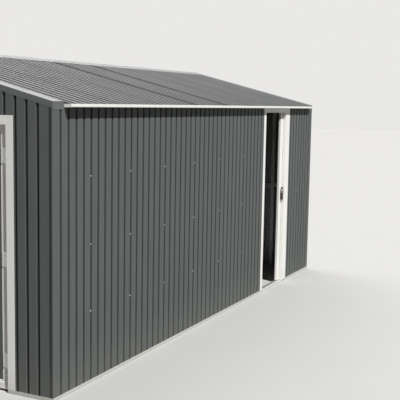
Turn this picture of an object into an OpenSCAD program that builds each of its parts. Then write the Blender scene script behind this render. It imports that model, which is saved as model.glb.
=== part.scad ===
// Ribbed sheet-metal garage with a low gable roof and a sliding side door.
// Millimetres. X runs along the long walls, Y across the gables, Z is up.
// The origin is on the ground, in the middle of the building.
// The side door is in the long wall that faces -Y. It is drawn slid open.

/* [Building] */
// Length of the building, outside the gable sheets
length = 5080; // [4600:10:8000]
// Width of the building, outside the long wall sheets
width = 3030; // [2900:10:4200]
// Height of the top edge of the long walls above the ground
wall_h = 1898; // [1580:1:2600]
// Slope of the roof in degrees
roof_slope = 14; // [10:0.5:25]
// How far the eave stands out in front of the long walls
eave_overhang = 56; // [25:1:90]

/* [Ribbed sheet] */
// Distance from one groove to the next
rib_pitch = 87.5; // [60:0.5:120]
// Width of a groove at the face of the sheet
groove_w = 24; // [16:1:34]
// Width of the floor of a groove
groove_floor_w = 16; // [8:1:15]
// Depth of a groove
groove_d = 9; // [5:0.5:14]
// Thickness of the sheet
sheet_t = 1; // [0.8:0.1:1.5]
// Least plain strip between a sheet's end and its last groove
plain_edge = 20; // [12:1:30]

/* [Frame] */
// Depth of the wall rails behind the sheet
rail_d = 12; // [10:1:20]
// Height of the wall rails
rail_h = 40; // [25:1:60]
// Height of the middle of the lowest wall rails above the ground
first_rail_z = 508; // [300:1:550]
// Distance from one wall rail up to the next
rail_step = 465; // [300:1:480]
// Side of the square corner posts
post_w = 30; // [25:1:50]
// Width of the posts along the walls
wall_post_w = 40; // [25:1:60]
// Depth of the posts along the walls
wall_post_d = 20; // [15:1:30]
// Distance from the right gable's corners to the middle of its posts
gable_post_in = 450; // [200:10:900]
// Height of the light strip at the foot of the walls
base_h = 25; // [15:1:40]
// Thickness of the base rails and of the white trims
trim_t = 2; // [1.5:0.5:3]
// Depth of the purlins
purlin_d = 16; // [12:1:28]
// Width of the purlins
purlin_w = 40; // [30:1:60]
// Width of the rafters
rafter_w = 30; // [20:1:50]
// Width of the tie beams
tie_w = 25; // [15:1:40]
// Height of the tie beams
tie_h = 14; // [10:1:16]
// Width of the ridge beam
ridge_beam_w = 40; // [30:1:60]
// Height of the ridge beam
ridge_beam_h = 30; // [20:1:50]
// Number of rafter pairs between the two end pairs
inner_rafters = 3; // [1:1:5]

/* [Roof edges] */
// Height of the white eave trim
eave_trim_h = 22.5; // [18:0.5:40]
// Length at each end of the wall where the eave trim stops short of the corner
eave_trim_stop = 125; // [112:1:160]
// Gap between the ends of the roof sheets and the eave trim in front of them
eave_gap = 0.5; // [0.2:0.1:3]
// Thickness of the ridge cap and of the verge flashings
flashing_t = 1.5; // [1:0.5:2.5]
// Width of the verge flashings on the roof
verge_w = 110; // [60:5:110]
// Height of the verge flashings' outer leg below the roof sheet
verge_drop = 30; // [15:1:50]
// Width of the ridge cap, along each slope
cap_w = 130; // [80:5:200]

/* [Side door] */
// Distance from the middle of the wall to the left side of the side doorway
door_x = 1089; // [600:1:1100]
// Clear width of the side doorway
door_w = 576; // [480:1:700]
// Height of the header above the doorway
header_h = 45; // [40:1:70]
// Width of the left jamb's face
left_jamb_w = 54; // [50:1:90]
// Width of the right jamb's face
right_jamb_w = 120; // [80:1:140]
// Width of the jamb posts at the sides of the doorway
jamb_post_w = 28; // [20:1:34]
// How much of the slid open leaf stays in the doorway
leaf_show = 75; // [70:1:110]
// How far the shut leaf reaches behind the left jamb
leaf_lap = 22; // [10:1:24]
// How far the shut leaf reaches behind the right jamb
leaf_tail = 32; // [15:1:60]
// Thickness of the leaf
leaf_t = 24; // [20:1:30]
// Running gap between the leaf and the wall frame in front of it
leaf_gap = 6; // [5:0.5:10]
// Gap under the leaf, above the floor track
leaf_floor_gap = 6; // [5:0.5:12]
// Width of the leaf's stiles
stile_w = 100; // [80:1:120]
// Height of the leaf's top and bottom rails
leaf_rail_h = 70; // [50:1:120]
// Distance from the leaf's leading edge to the middle of its handle, where the right jamb leaves room
handle_inset = 55; // [42:1:60]
// Height of the lock cylinder above the ground
lock_z = 1001; // [850:1:1150]

/* [Door tracks] */
// Height of the floor track and the sill
track_h = 22; // [15:1:23]
// How far the floor track reaches into the building, past the leaf
track_inner = 32; // [20:1:60]
// Width of the groove in the floor track
guide_groove_w = 14; // [13:1:18]
// Thickness of the guide under the leaf
guide_t = 4; // [2:0.5:4]
// Height of the head track
head_h = 32; // [30:1:40]
// Thickness of the head track's walls
head_t = 2; // [1.5:0.5:2.5]
// Width of the slot in the bottom of the head track
slot_w = 14; // [14:1:16]
// Radius of the hanger wheels
wheel_r = 9; // [7:0.5:10]
// Thickness of the hanger wheels
wheel_w = 6; // [4:0.5:6]
// Gap between a hanger wheel and the track under it
wheel_gap = 0.3; // [0.2:0.1:0.5]
// Length of the hangers along the leaf
hanger_l = 60; // [40:1:90]

/* [Vehicle door] */
// Clear width of the vehicle doorway
vehicle_w = 2300; // [1900:10:2400]
// Clear height of the vehicle doorway
vehicle_h = 1780; // [1400:10:1790]
// Width of the vehicle door's jambs and header
vehicle_trim_w = 60; // [50:1:90]
// Width of the frame around each vehicle door leaf
vehicle_frame_w = 60; // [40:1:90]
// Thickness of the vehicle door leaves
vehicle_leaf_t = 22; // [18:1:30]
// How far the vehicle door leaves stand back from the gable's face
vehicle_recess = 20; // [18:1:30]
// Gap between the two vehicle door leaves
vehicle_meeting_gap = 3; // [2:0.5:6]
// Gap under the vehicle door leaves
vehicle_floor_gap = 15; // [8:1:30]

/* [Hidden] */
$fn = 48;
// Depth of the sheet over its grooves
sheet_d = groove_d + sheet_t;
// Widening of a groove on the back of the sheet, so that its sides keep the sheet's thickness
flank_run = (groove_w - groove_floor_w) / 2;
flank_shift = sheet_t * (sqrt(flank_run * flank_run + groove_d * groove_d) - flank_run) / groove_d;
half_l = length / 2;
half_w = width / 2;
// Faces of the front wall, counted from its outer face into the building
frame_y = sheet_d + rail_d;
// Foot plates and the door sill end where the floor track starts, just behind the wall rails
foot_w = frame_y + trim_t;
leaf_y = frame_y + leaf_gap;
leaf_mid_y = leaf_y + leaf_t / 2;
// Roof: roof_z is the height of the plane that carries the sheets, at the eave trim's outer face.
// There the sheets' top is level with the trim, which hides their ends.
flashing_gap = 0.1;
flashing_low = sheet_d + flashing_gap;
flashing_high = flashing_low + flashing_t;
roof_tan = tan(roof_slope);
roof_cos = cos(roof_slope);
roof_z = wall_h + eave_trim_h - sheet_d / roof_cos;
roof_run = half_w + eave_overhang;
ridge_z = roof_z + roof_run * roof_tan;
purlin_low = -purlin_d;
// The rafters fill the height between the purlins and the top rails
rafter_low = (wall_h - (roof_z + (eave_overhang + frame_y) * roof_tan)) * roof_cos;
// Side door
door_right = door_x + door_w;
header_z = wall_h - header_h;
leaf_x = door_right - leaf_show;
leaf_w = leaf_lap + door_w + leaf_tail;
leaf_right = leaf_x + leaf_w;
leaf_travel = leaf_x - (door_x - leaf_lap);
leaf_z = track_h + leaf_floor_gap;
// The head track hangs out of sight behind the header, and the leaf ends just under it
head_rise = 9;
head_clearance = 7;
track_z = header_z + head_rise;
leaf_top = track_z - head_clearance;
track_w = 2 * (leaf_mid_y - frame_y);
// The guides run under the inner half of the leaf
guide_y = leaf_y + leaf_t - guide_t;
// Distance from the leaf's edges to the middle of its hangers and guides
hanger_inset = 80;
handle_w = 30;
handle_clearance = 5;
handle_x = leaf_x + min(handle_inset, leaf_show - handle_w / 2 - handle_clearance);
// Play of a hanger's plate in the head track's slot, to each side
slot_play = 5;
// Gap between the guides and the bottom of the track's groove, which is at groove_z
guide_clearance = 5;
groove_z = track_h / 4;
// Vehicle door
vehicle_leaf_w = vehicle_w / 2;
vehicle_depth = vehicle_recess + vehicle_leaf_t + trim_t;

// Points of the ribbed sheet's outline between two ends. The outer face is at 0, grooves run to +.
function groove_centres(x0, x1) =
    let (inset = groove_w / 2 + plain_edge)
    [for (k = [ceil((x0 + inset) / rib_pitch) : floor((x1 - inset) / rib_pitch)]) k * rib_pitch];

function groove_points(centre, widen, depth) = [
    [centre - groove_w / 2 - widen, depth],
    [centre - groove_floor_w / 2 - widen, depth + groove_d],
    [centre + groove_floor_w / 2 + widen, depth + groove_d],
    [centre + groove_w / 2 + widen, depth]
];

function face_points(x0, x1, widen, depth) = concat(
    [[x0, depth]],
    [for (centre = groove_centres(x0, x1)) each groove_points(centre, widen, depth)],
    [[x1, depth]]
);

function reversed(points) = [for (k = [len(points) - 1 : -1 : 0]) points[k]];

// Height of the plane that carries the roof sheets, at a distance from the ridge
function roof_plane(y) = ridge_z - abs(y) * roof_tan;

// Outline of a layer that follows both slopes, between two heights square to the roof
function roof_band(reach, low, high) = [
    [-reach, roof_plane(reach) + low / roof_cos],
    [0, ridge_z + low / roof_cos],
    [reach, roof_plane(reach) + low / roof_cos],
    [reach, roof_plane(reach) + high / roof_cos],
    [0, ridge_z + high / roof_cos],
    [-reach, roof_plane(reach) + high / roof_cos]
];

module sheet_outline(x0, x1) {
    polygon(concat(face_points(x0, x1, 0, 0), reversed(face_points(x0, x1, flank_shift, sheet_t))));
}

// Box given by its low and high corners
module block(low, high) {
    translate(low)
        cube(high - low);
}

// Square tube given by its low and high corners. It is open at both ends along one axis.
module tube(low, high, axis, wall = 1.5) {
    inset = [for (k = [0 : 2]) k == axis ? -1 : wall];
    difference() {
        block(low, high);
        block(low + inset, high - inset);
    }
}

// Outline in Y and Z drawn out along X between two places
module along_x(x0, x1) {
    translate([x0, 0, 0])
        rotate([90, 0, 90])
            linear_extrude(x1 - x0)
                children();
}

// Puts a wall's own frame in place: X along the wall, Y into the building from its outer face
module at_front() {
    translate([0, -half_w, 0])
        children();
}

module at_back() {
    rotate([0, 0, 180])
        translate([0, -half_w, 0])
            children();
}

module at_right() {
    rotate([0, 0, 90])
        translate([0, -half_l, 0])
            children();
}

module at_left() {
    rotate([0, 0, -90])
        translate([0, -half_l, 0])
            children();
}

module wall_sheet(x0, x1, z0, z1) {
    translate([0, 0, z0])
        linear_extrude(z1 - z0)
            sheet_outline(x0, x1);
}

// A gable sheet is cut off along the plane that carries the roof
module gable_sheet(x0, x1, z0) {
    intersection() {
        wall_sheet(x0, x1, z0, ridge_z);
        translate([0, sheet_d + 1, 0])
            rotate([90, 0, 0])
                linear_extrude(sheet_d + 2)
                    polygon([[-half_w, 0], [half_w, 0], [half_w, roof_plane(half_w)],
                             [0, ridge_z], [-half_w, roof_plane(half_w)]]);
    }
}

// Base rails: a foot plate under the sheet and a low strip in front of it
module base_rail_front() {
    color("gainsboro")
        at_front() {
            block([-half_l - trim_t, -trim_t, 0], [door_x, 0, base_h]);
            block([-half_l, -trim_t, 0], [door_x, foot_w, trim_t]);
            block([door_right, -trim_t, 0], [half_l + trim_t, 0, base_h]);
            block([door_right, -trim_t, 0], [half_l, foot_w, trim_t]);
        }
}

module base_rail_back() {
    color("gainsboro")
        at_back() {
            block([-half_l - trim_t, -trim_t, 0], [half_l + trim_t, 0, base_h]);
            block([-half_l, -trim_t, 0], [half_l, foot_w, trim_t]);
        }
}

module base_rails_gables() {
    color("gainsboro") {
        at_right() {
            block([-half_w, -trim_t, 0], [half_w, 0, base_h]);
            block([-half_w + foot_w, -trim_t, 0], [half_w - foot_w, foot_w, trim_t]);
        }
        at_left()
            for (side = [0, 1])
                mirror([side, 0, 0]) {
                    block([vehicle_w / 2, -trim_t, 0], [half_w, 0, base_h]);
                    block([vehicle_w / 2, -trim_t, 0], [half_w - foot_w, foot_w, trim_t]);
                }
    }
}

module corner_posts() {
    color("silver")
        for (sx = [0, 1])
            mirror([sx, 0, 0])
                for (sy = [0, 1])
                    mirror([0, sy, 0])
                        tube([half_l - sheet_d - post_w, half_w - sheet_d - post_w, trim_t],
                             [half_l - sheet_d, half_w - sheet_d, wall_h - rail_h], 2);
}

// Post behind the wall rails, with its middle at a place along its wall
module wall_post(x, top) {
    tube([x - wall_post_w / 2, frame_y, trim_t], [x + wall_post_w / 2, frame_y + wall_post_d, top], 2);
}

// The stretch of the front wall that the open leaf slides along has no posts
module wall_posts() {
    color("silver") {
        at_front()
            for (x = rafter_places)
                if (abs(x) < rafter_end && x < door_x - 2 * left_jamb_w)
                    wall_post(x, wall_h);
        at_back()
            for (x = rafter_places)
                if (abs(x) < rafter_end)
                    wall_post(x, wall_h);
    }
}

module gable_posts() {
    place = half_w - gable_post_in;
    color("silver")
        at_right()
            for (x = [-place, place])
                wall_post(x, roof_plane(place + wall_post_w / 2) + rafter_low / roof_cos);
}

module front_wall_left() {
    color("dimgray")
        at_front()
            wall_sheet(-half_l, door_x - jamb_post_w, trim_t, wall_h);
}

module front_wall_right() {
    color("dimgray")
        at_front()
            wall_sheet(door_right + jamb_post_w, half_l, trim_t, wall_h);
}

module back_wall() {
    color("dimgray")
        at_back()
            wall_sheet(-half_l, half_l, trim_t, wall_h);
}

module right_gable_wall() {
    color("dimgray")
        at_right()
            gable_sheet(-half_w + sheet_t, half_w - sheet_t, trim_t);
}

module left_gable_sides() {
    color("dimgray")
        at_left()
            for (side = [0, 1])
                mirror([side, 0, 0])
                    gable_sheet(vehicle_w / 2 + jamb_post_w, half_w - sheet_t, trim_t);
}

module left_gable_top() {
    reach = vehicle_w / 2 + jamb_post_w;
    color("dimgray")
        at_left()
            gable_sheet(-reach, reach, vehicle_h + trim_t);
}

module wall_rail(x0, x1, z) {
    tube([x0, sheet_d, z - rail_h / 2], [x1, frame_y, z + rail_h / 2], 0);
}

// Three rails along each stretch of the long walls, and one along each stretch of the gables
module wall_rails() {
    long_end = half_l - sheet_d - post_w;
    gable_end = half_w - sheet_d - post_w;
    mid_z = first_rail_z + rail_step;
    color("silver") {
        for (k = [0 : 2]) {
            at_front() {
                wall_rail(-long_end, door_x - jamb_post_w, first_rail_z + k * rail_step);
                wall_rail(door_right + jamb_post_w, long_end, first_rail_z + k * rail_step);
            }
            at_back()
                wall_rail(-long_end, long_end, first_rail_z + k * rail_step);
        }
        at_right()
            wall_rail(-gable_end, gable_end, mid_z);
        at_left()
            for (side = [0, 1])
                mirror([side, 0, 0])
                    wall_rail(vehicle_w / 2 + jamb_post_w, gable_end, mid_z);
    }
}

module top_rails() {
    color("silver")
        for (side = [0, 1])
            mirror([0, side, 0])
                at_front()
                    wall_rail(-half_l + sheet_d, half_l - sheet_d, wall_h - rail_h / 2);
}

// Jamb: a face plate on the sheet and a post that lines the doorway, which is at x = 0
module jamb(face_w, depth, post_top, face_top) {
    block([0, -trim_t, base_h], [face_w, 0, face_top]);
    tube([0, 0, trim_t], [jamb_post_w, depth, post_top], 2, trim_t);
}

module left_jamb() {
    color("ivory")
        at_front()
            translate([door_x, 0, 0])
                mirror([1, 0, 0])
                    jamb(left_jamb_w, frame_y, wall_h - rail_h, wall_h);
}

module right_jamb() {
    color("ivory")
        at_front()
            translate([door_right, 0, 0])
                jamb(right_jamb_w, frame_y, wall_h - rail_h, wall_h);
}

module door_header() {
    color("ivory")
        at_front() {
            block([door_x, -trim_t, header_z], [door_right, 0, wall_h]);
            block([door_x, -trim_t, header_z], [door_right, frame_y, header_z + trim_t]);
        }
}

module door_sill() {
    color("lightgray")
        at_front() {
            block([door_x, -trim_t, 0], [door_right, trim_t, base_h]);
            block([door_x, 0, 0], [door_right, foot_w, track_h]);
        }
}

// Floor track: level under the leaf, with a groove for its guides, then a ramp
module floor_track() {
    back = leaf_y + leaf_t + track_inner;
    ramp_top = guide_y + guide_groove_w / 2 + 3;
    color("lightgray")
        at_front()
            difference() {
                along_x(door_x, leaf_right)
                    polygon([[foot_w, 0], [back, 0], [back, groove_z],
                             [ramp_top, track_h], [foot_w, track_h]]);
                block([door_x - 1, guide_y - guide_groove_w / 2, groove_z],
                      [leaf_right + 1, guide_y + guide_groove_w / 2, track_h + 1]);
            }
}

module head_track() {
    x0 = door_x - leaf_lap;
    color("silver")
        at_front()
            difference() {
                block([x0, frame_y, track_z], [leaf_right, frame_y + track_w, track_z + head_h]);
                block([x0 - 1, frame_y + head_t, track_z + head_t],
                      [leaf_right + 1, frame_y + track_w - head_t, track_z + head_h - head_t]);
                block([x0 - 1, leaf_mid_y - slot_w / 2, track_z - 1],
                      [leaf_right + 1, leaf_mid_y + slot_w / 2, track_z + head_t + 1]);
            }
}

module leading_stile() {
    color("ivory")
        at_front()
            tube([leaf_x, leaf_y, leaf_z], [leaf_x + stile_w, leaf_y + leaf_t, leaf_top], 2);
}

module trailing_stile() {
    color("ivory")
        at_front()
            tube([leaf_right - stile_w, leaf_y, leaf_z], [leaf_right, leaf_y + leaf_t, leaf_top], 2);
}

module leaf_rails() {
    color("ivory")
        at_front() {
            tube([leaf_x + stile_w, leaf_y, leaf_z],
                 [leaf_right - stile_w, leaf_y + leaf_t, leaf_z + leaf_rail_h], 0);
            tube([leaf_x + stile_w, leaf_y, leaf_top - leaf_rail_h],
                 [leaf_right - stile_w, leaf_y + leaf_t, leaf_top], 0);
        }
}

module leaf_panel() {
    color("dimgray")
        at_front()
            translate([0, leaf_mid_y - sheet_d / 2, 0])
                wall_sheet(leaf_x + stile_w, leaf_right - stile_w,
                           leaf_z + leaf_rail_h, leaf_top - leaf_rail_h);
}

module at_lock() {
    at_front()
        translate([handle_x, leaf_y, lock_z])
            rotate([90, 0, 0])
                children();
}

// Back plate and a pull that widens downwards
module pull_handle() {
    plate_t = 3;
    plate_top = 20;
    plate_low = 97;
    pull_top = -16;
    pull_low = -89;
    color("sienna")
        at_lock() {
            difference() {
                block([-handle_w / 2, -plate_low, 0], [handle_w / 2, plate_top, plate_t]);
                translate([0, 0, -1])
                    cylinder(h = plate_t + 2, r = 12.8);
            }
            translate([0, 0, plate_t])
                linear_extrude(22)
                    polygon([[-9, pull_top], [9, pull_top], [14, pull_low], [-14, pull_low]]);
        }
}

module lock_cylinder() {
    color("silver")
        at_lock()
            cylinder(h = 26, r = 12.5);
}

module door_catch() {
    color("dimgray")
        at_lock() {
            block([-9, 22, 0], [9, 54, 3]);
            translate([0, 38, 3])
                cylinder(h = 22, r = 12);
        }
}

// Hanger: a foot on the leaf, a plate through the slot, and two wheels on the track's lips
module hanger() {
    plate_t = slot_w - 2 * slot_play;
    wheel_z = track_z + head_t + wheel_gap + wheel_r;
    wheel_in = slot_w / 2 - 2;
    foot_t = 2;
    block([-hanger_l / 2, -leaf_t / 2 + 2, leaf_top], [hanger_l / 2, leaf_t / 2 - 2, leaf_top + foot_t]);
    block([-wheel_r, -plate_t / 2, leaf_top], [wheel_r, plate_t / 2, wheel_z + wheel_r / 2]);
    translate([0, 0, wheel_z])
        rotate([90, 0, 0]) {
            cylinder(h = 2 * wheel_in + 2, r = 3, center = true);
            for (side = [0, 1])
                mirror([0, 0, side])
                    translate([0, 0, wheel_in])
                        cylinder(h = wheel_w, r = wheel_r);
        }
}

module leaf_hangers() {
    color("silver")
        at_front()
            for (x = [leaf_x + hanger_inset, leaf_right - hanger_inset])
                translate([x, leaf_mid_y, 0])
                    hanger();
}

module leaf_guides() {
    color("black")
        at_front()
            for (x = [leaf_x + hanger_inset, leaf_right - hanger_inset])
                block([x - hanger_l / 2, guide_y - guide_t / 2, groove_z + guide_clearance],
                      [x + hanger_l / 2, guide_y + guide_t / 2, leaf_z]);
}

// Places along the building where the rafter pairs stand
rafter_end = half_l - sheet_d - rafter_w / 2;
rafter_places = [for (k = [0 : inner_rafters + 1]) -rafter_end + k * 2 * rafter_end / (inner_rafters + 1)];

module rafters() {
    color("silver")
        for (x = rafter_places)
            along_x(x - rafter_w / 2, x + rafter_w / 2)
                intersection() {
                    polygon(roof_band(half_w - sheet_d, rafter_low, purlin_low));
                    translate([-half_w, wall_h])
                        square([width, ridge_z]);
                }
}

module tie_beams() {
    color("silver")
        for (k = [1 : inner_rafters])
            at_front()
                block([rafter_places[k] + rafter_w / 2, sheet_d, wall_h],
                      [rafter_places[k] + rafter_w / 2 + tie_w, width - sheet_d, wall_h + tie_h]);
}

// Purlin: a bar under the roof sheet, at a distance from the ridge along the slope
module purlin(distance) {
    translate([0, 0, ridge_z])
        rotate([roof_slope, 0, 0])
            block([-half_l + sheet_d, -distance - purlin_w, -purlin_d],
                  [half_l - sheet_d, -distance, 0]);
}

module purlins() {
    slope_l = (half_w - sheet_d) / roof_cos;
    color("silver")
        for (side = [0, 1])
            mirror([0, side, 0])
                for (distance = [purlin_w / 2, slope_l / 2, slope_l - purlin_w - purlin_d])
                    purlin(distance);
}

module ridge_beam() {
    top = roof_plane(ridge_beam_w / 2) + rafter_low / roof_cos;
    color("silver")
        block([-half_l + sheet_d, -ridge_beam_w / 2, top - ridge_beam_h],
              [half_l - sheet_d, ridge_beam_w / 2, top]);
}

module roof_sheet() {
    ridge_gap = 2;
    slope_l = (roof_run - trim_t - eave_gap) / roof_cos - sheet_d * roof_tan - ridge_gap;
    difference() {
        translate([0, 0, ridge_z])
            rotate([roof_slope, 0, 0])
                translate([0, -ridge_gap, sheet_d])
                    rotate([90, 0, 0])
                        linear_extrude(slope_l)
                            mirror([0, 1, 0])
                                sheet_outline(-half_l, half_l);
        for (side = [0, 1])
            mirror([side, 0, 0])
                block([half_l - eave_trim_stop, -half_w - 2 * eave_overhang, 0],
                      [half_l + 1, -half_w, ridge_z]);
    }
}

module roof_sheet_front() {
    color("darkgray")
        roof_sheet();
}

module roof_sheet_back() {
    color("darkgray")
        mirror([0, 1, 0])
            roof_sheet();
}

module ridge_cap() {
    reach = half_l - verge_w;
    color("darkgray")
        along_x(-reach, reach)
            polygon(roof_band(cap_w, flashing_low, flashing_high));
}

// Verge flashing: on the sheet's edge, down the gable, and closed at each eave
module verge_right() {
    color("darkgray") {
        along_x(half_l - verge_w, half_l + flashing_t)
            polygon(roof_band(half_w, flashing_low, flashing_high));
        along_x(half_l, half_l + flashing_t)
            polygon(roof_band(half_w, -verge_drop, flashing_high));
        for (side = [0, 1])
            mirror([0, side, 0])
                block([half_l - eave_trim_stop, -half_w - flashing_t, wall_h - verge_drop / 2],
                      [half_l + flashing_t, -half_w, roof_plane(half_w) + flashing_high / roof_cos]);
    }
}

module verge_left() {
    mirror([1, 0, 0])
        verge_right();
}

// Eave trim: an open topped box of thin sheet on the top edge of the wall. Its outer side is higher.
module eave_trim() {
    reach = half_l - eave_trim_stop;
    color("ivory")
        at_front()
            difference() {
                union() {
                    block([-reach, -eave_overhang, wall_h], [reach, sheet_d, roof_z]);
                    block([-reach, -eave_overhang, wall_h],
                          [reach, -eave_overhang + trim_t, wall_h + eave_trim_h]);
                }
                block([-reach + trim_t, -eave_overhang + trim_t, wall_h + trim_t],
                      [reach - trim_t, sheet_d - trim_t, roof_z + 1]);
            }
}

module eave_trim_front() {
    eave_trim();
}

module eave_trim_back() {
    mirror([0, 1, 0])
        eave_trim();
}

module vehicle_jambs() {
    color("ivory")
        at_left()
            for (side = [0, 1])
                mirror([side, 0, 0])
                    translate([vehicle_w / 2, 0, 0])
                        jamb(vehicle_trim_w, vehicle_depth, vehicle_h + trim_t, vehicle_h + vehicle_trim_w);
}

module vehicle_header() {
    color("ivory")
        at_left() {
            block([-vehicle_w / 2, -trim_t, vehicle_h], [vehicle_w / 2, 0, vehicle_h + vehicle_trim_w]);
            block([-vehicle_w / 2, -trim_t, vehicle_h], [vehicle_w / 2, vehicle_depth, vehicle_h + trim_t]);
        }
}

// Places both leaves of the vehicle door. A leaf starts at x = 0, in the middle of the doorway.
module vehicle_leaves() {
    at_left()
        for (side = [0, 1])
            mirror([side, 0, 0])
                translate([0, vehicle_recess, 0])
                    children();
}

module vehicle_leaf_frames() {
    color("ivory")
        vehicle_leaves()
            difference() {
                block([vehicle_meeting_gap / 2, 0, vehicle_floor_gap],
                      [vehicle_leaf_w, vehicle_leaf_t, vehicle_h]);
                block([vehicle_frame_w, -1, vehicle_floor_gap + vehicle_frame_w],
                      [vehicle_leaf_w - vehicle_frame_w, vehicle_leaf_t + 1, vehicle_h - vehicle_frame_w]);
            }
}

module vehicle_leaf_panels() {
    color("dimgray")
        vehicle_leaves()
            translate([0, (vehicle_leaf_t - sheet_d) / 2, 0])
                wall_sheet(vehicle_frame_w, vehicle_leaf_w - vehicle_frame_w,
                           vehicle_floor_gap + vehicle_frame_w, vehicle_h - vehicle_frame_w);
}

module vehicle_handle() {
    plate_t = 3;
    color("sienna")
        at_left()
            translate([vehicle_frame_w / 2 + vehicle_meeting_gap, vehicle_recess, lock_z])
                rotate([90, 0, 0]) {
                    block([-15, -60, 0], [15, 60, plate_t]);
                    cylinder(h = 8, r = 8);
                    block([-8, -8, 8], [80, 8, 16]);
                }
}

base_rail_front();
base_rail_back();
base_rails_gables();
corner_posts();
wall_posts();
gable_posts();
front_wall_left();
front_wall_right();
back_wall();
right_gable_wall();
left_gable_sides();
left_gable_top();
wall_rails();
top_rails();
left_jamb();
right_jamb();
door_header();
door_sill();
floor_track();
head_track();
leading_stile();
trailing_stile();
leaf_rails();
leaf_panel();
pull_handle();
lock_cylinder();
door_catch();
leaf_hangers();
leaf_guides();
rafters();
tie_beams();
purlins();
ridge_beam();
roof_sheet_front();
roof_sheet_back();
ridge_cap();
verge_right();
verge_left();
eave_trim_front();
eave_trim_back();
vehicle_jambs();
vehicle_header();
vehicle_leaf_frames();
vehicle_leaf_panels();
vehicle_handle();
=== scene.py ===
"""Finishes and fine metalwork of a ribbed sheet-metal garage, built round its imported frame.

Metres throughout. X runs along the long walls, Y across the gables and Z is up. The sliding side door is in
the wall that faces -Y, and it is drawn slid open.
"""

import logging
import math
import random
from collections.abc import Callable, Sequence
from dataclasses import dataclass, field
from enum import Enum
from functools import cache

import bmesh
import bpy
from mathutils import Matrix, Vector, noise


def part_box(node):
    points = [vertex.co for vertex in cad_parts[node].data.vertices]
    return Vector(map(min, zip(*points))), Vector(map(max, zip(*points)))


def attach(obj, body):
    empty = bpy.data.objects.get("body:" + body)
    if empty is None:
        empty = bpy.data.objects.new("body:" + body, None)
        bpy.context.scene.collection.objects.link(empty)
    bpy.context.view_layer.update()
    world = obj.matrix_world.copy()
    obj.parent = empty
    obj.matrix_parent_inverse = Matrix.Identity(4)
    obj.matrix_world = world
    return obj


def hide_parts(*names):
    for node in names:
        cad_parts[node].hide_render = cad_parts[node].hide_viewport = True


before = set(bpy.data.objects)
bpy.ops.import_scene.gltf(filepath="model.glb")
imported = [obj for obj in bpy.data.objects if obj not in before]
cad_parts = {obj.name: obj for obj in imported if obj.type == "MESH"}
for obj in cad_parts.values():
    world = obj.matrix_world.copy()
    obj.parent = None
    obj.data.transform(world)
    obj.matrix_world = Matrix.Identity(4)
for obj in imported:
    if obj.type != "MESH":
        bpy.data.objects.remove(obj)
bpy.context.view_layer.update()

LOG = logging.getLogger("garage")
# Attribute that says where each point is on its sheet: along it, up it, and how deep in a groove
SHEET_PLACE = "sheet_place"
# Edges sharper than these angles, in degrees, are shaded as edges and are bevelled
EDGE_ANGLE = 34.0
BEVEL_ANGLE = 40.0
# Distance that keeps two points or faces just apart
HAIR = 0.0001
# Direction away from the front wall
OUTWARD = Vector((0.0, -1.0, 0.0))

Socket = bpy.types.NodeSocket
Part = bpy.types.Object
Triple = tuple[float, float, float]
Colour = Triple
Point = tuple[float, float]
Path = Sequence[Point]
Rule = Callable[[Point], float]
Grid = list[list[Vector]]
Faces = list[tuple[int, ...]]


class Body(Enum):
    """Bodies that a piece can move with."""

    BUILDING = "building"
    DOOR = "side_door"


class Slot(Enum):
    """Material slots of the record that a new piece can take its finish from."""

    WALL = "wall_sheet"
    ROOF = "roof_sheet"
    TRIM = "white_trim"
    BASE = "base_rail"
    STEEL = "galvanised"
    TRACK = "track"
    HANDLE = "handle"
    LOCK = "lock"


class Side(Enum):
    """Sides of the building, each with its turn from the front in degrees."""

    FRONT = 0.0
    RIGHT = 90.0
    BACK = 180.0
    LEFT = -90.0


class Nodes:
    """A node tree, with short ways to add to it."""

    def __init__(self, tree: bpy.types.NodeTree) -> None:
        """Takes over a tree and empties it."""
        self.tree = tree
        self.tree.nodes.clear()

    def add(self, kind: str, **settings: object) -> bpy.types.Node:
        """Adds a node.

        Args:
            kind: Blender's name for the type of node.
            settings: Properties of the node, by name.

        Returns:
            The new node.
        """
        node = self.tree.nodes.new(kind)
        for name, value in settings.items():
            setattr(node, name, value)
        return node

    def feed(self, value: object, target: Socket) -> None:
        """Links a socket to an input, or sets a plain number, vector or colour on it.

        Args:
            value: The socket or the plain value.
            target: The input.
        """
        if isinstance(value, Socket):
            self.tree.links.new(value, target)
        elif target.type == "RGBA" and len(value) == 3:
            target.default_value = (*value, 1.0)
        else:
            target.default_value = value

    def maths(self, operation: str, first: object, second: object = 0.0) -> Socket:
        """Works out one number from two.

        Args:
            operation: Name of the operation.
            first: First number.
            second: Second number.

        Returns:
            The result.
        """
        node = self.add("ShaderNodeMath", operation=operation)
        self.feed(first, node.inputs[0])
        self.feed(second, node.inputs[1])
        return node.outputs[0]

    def span(self, value: Socket, start: float, end: float, low: float, high: float) -> Socket:
        """Maps one range onto another and stops at its ends.

        Args:
            value: What is mapped.
            start: Value that gives low.
            end: Value that gives high.
            low: Result at start.
            high: Result at end.

        Returns:
            The mapped value.
        """
        node = self.add("ShaderNodeMapRange", clamp=True)
        for target, number in zip(node.inputs, (value, start, end, low, high)):
            self.feed(number, target)
        return node.outputs["Result"]

    def seen(self) -> Socket:
        """Tells what the camera sees, straight or in a reflection, from what only lights something.

        Returns:
            1 for what is seen, and 0 for the rest.
        """
        rays = self.add("ShaderNodeLightPath").outputs
        sent_on = self.maths("MAXIMUM", rays["Is Glossy Ray"], rays["Is Transmission Ray"])
        return self.maths("MAXIMUM", rays["Is Camera Ray"], sent_on)


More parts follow.
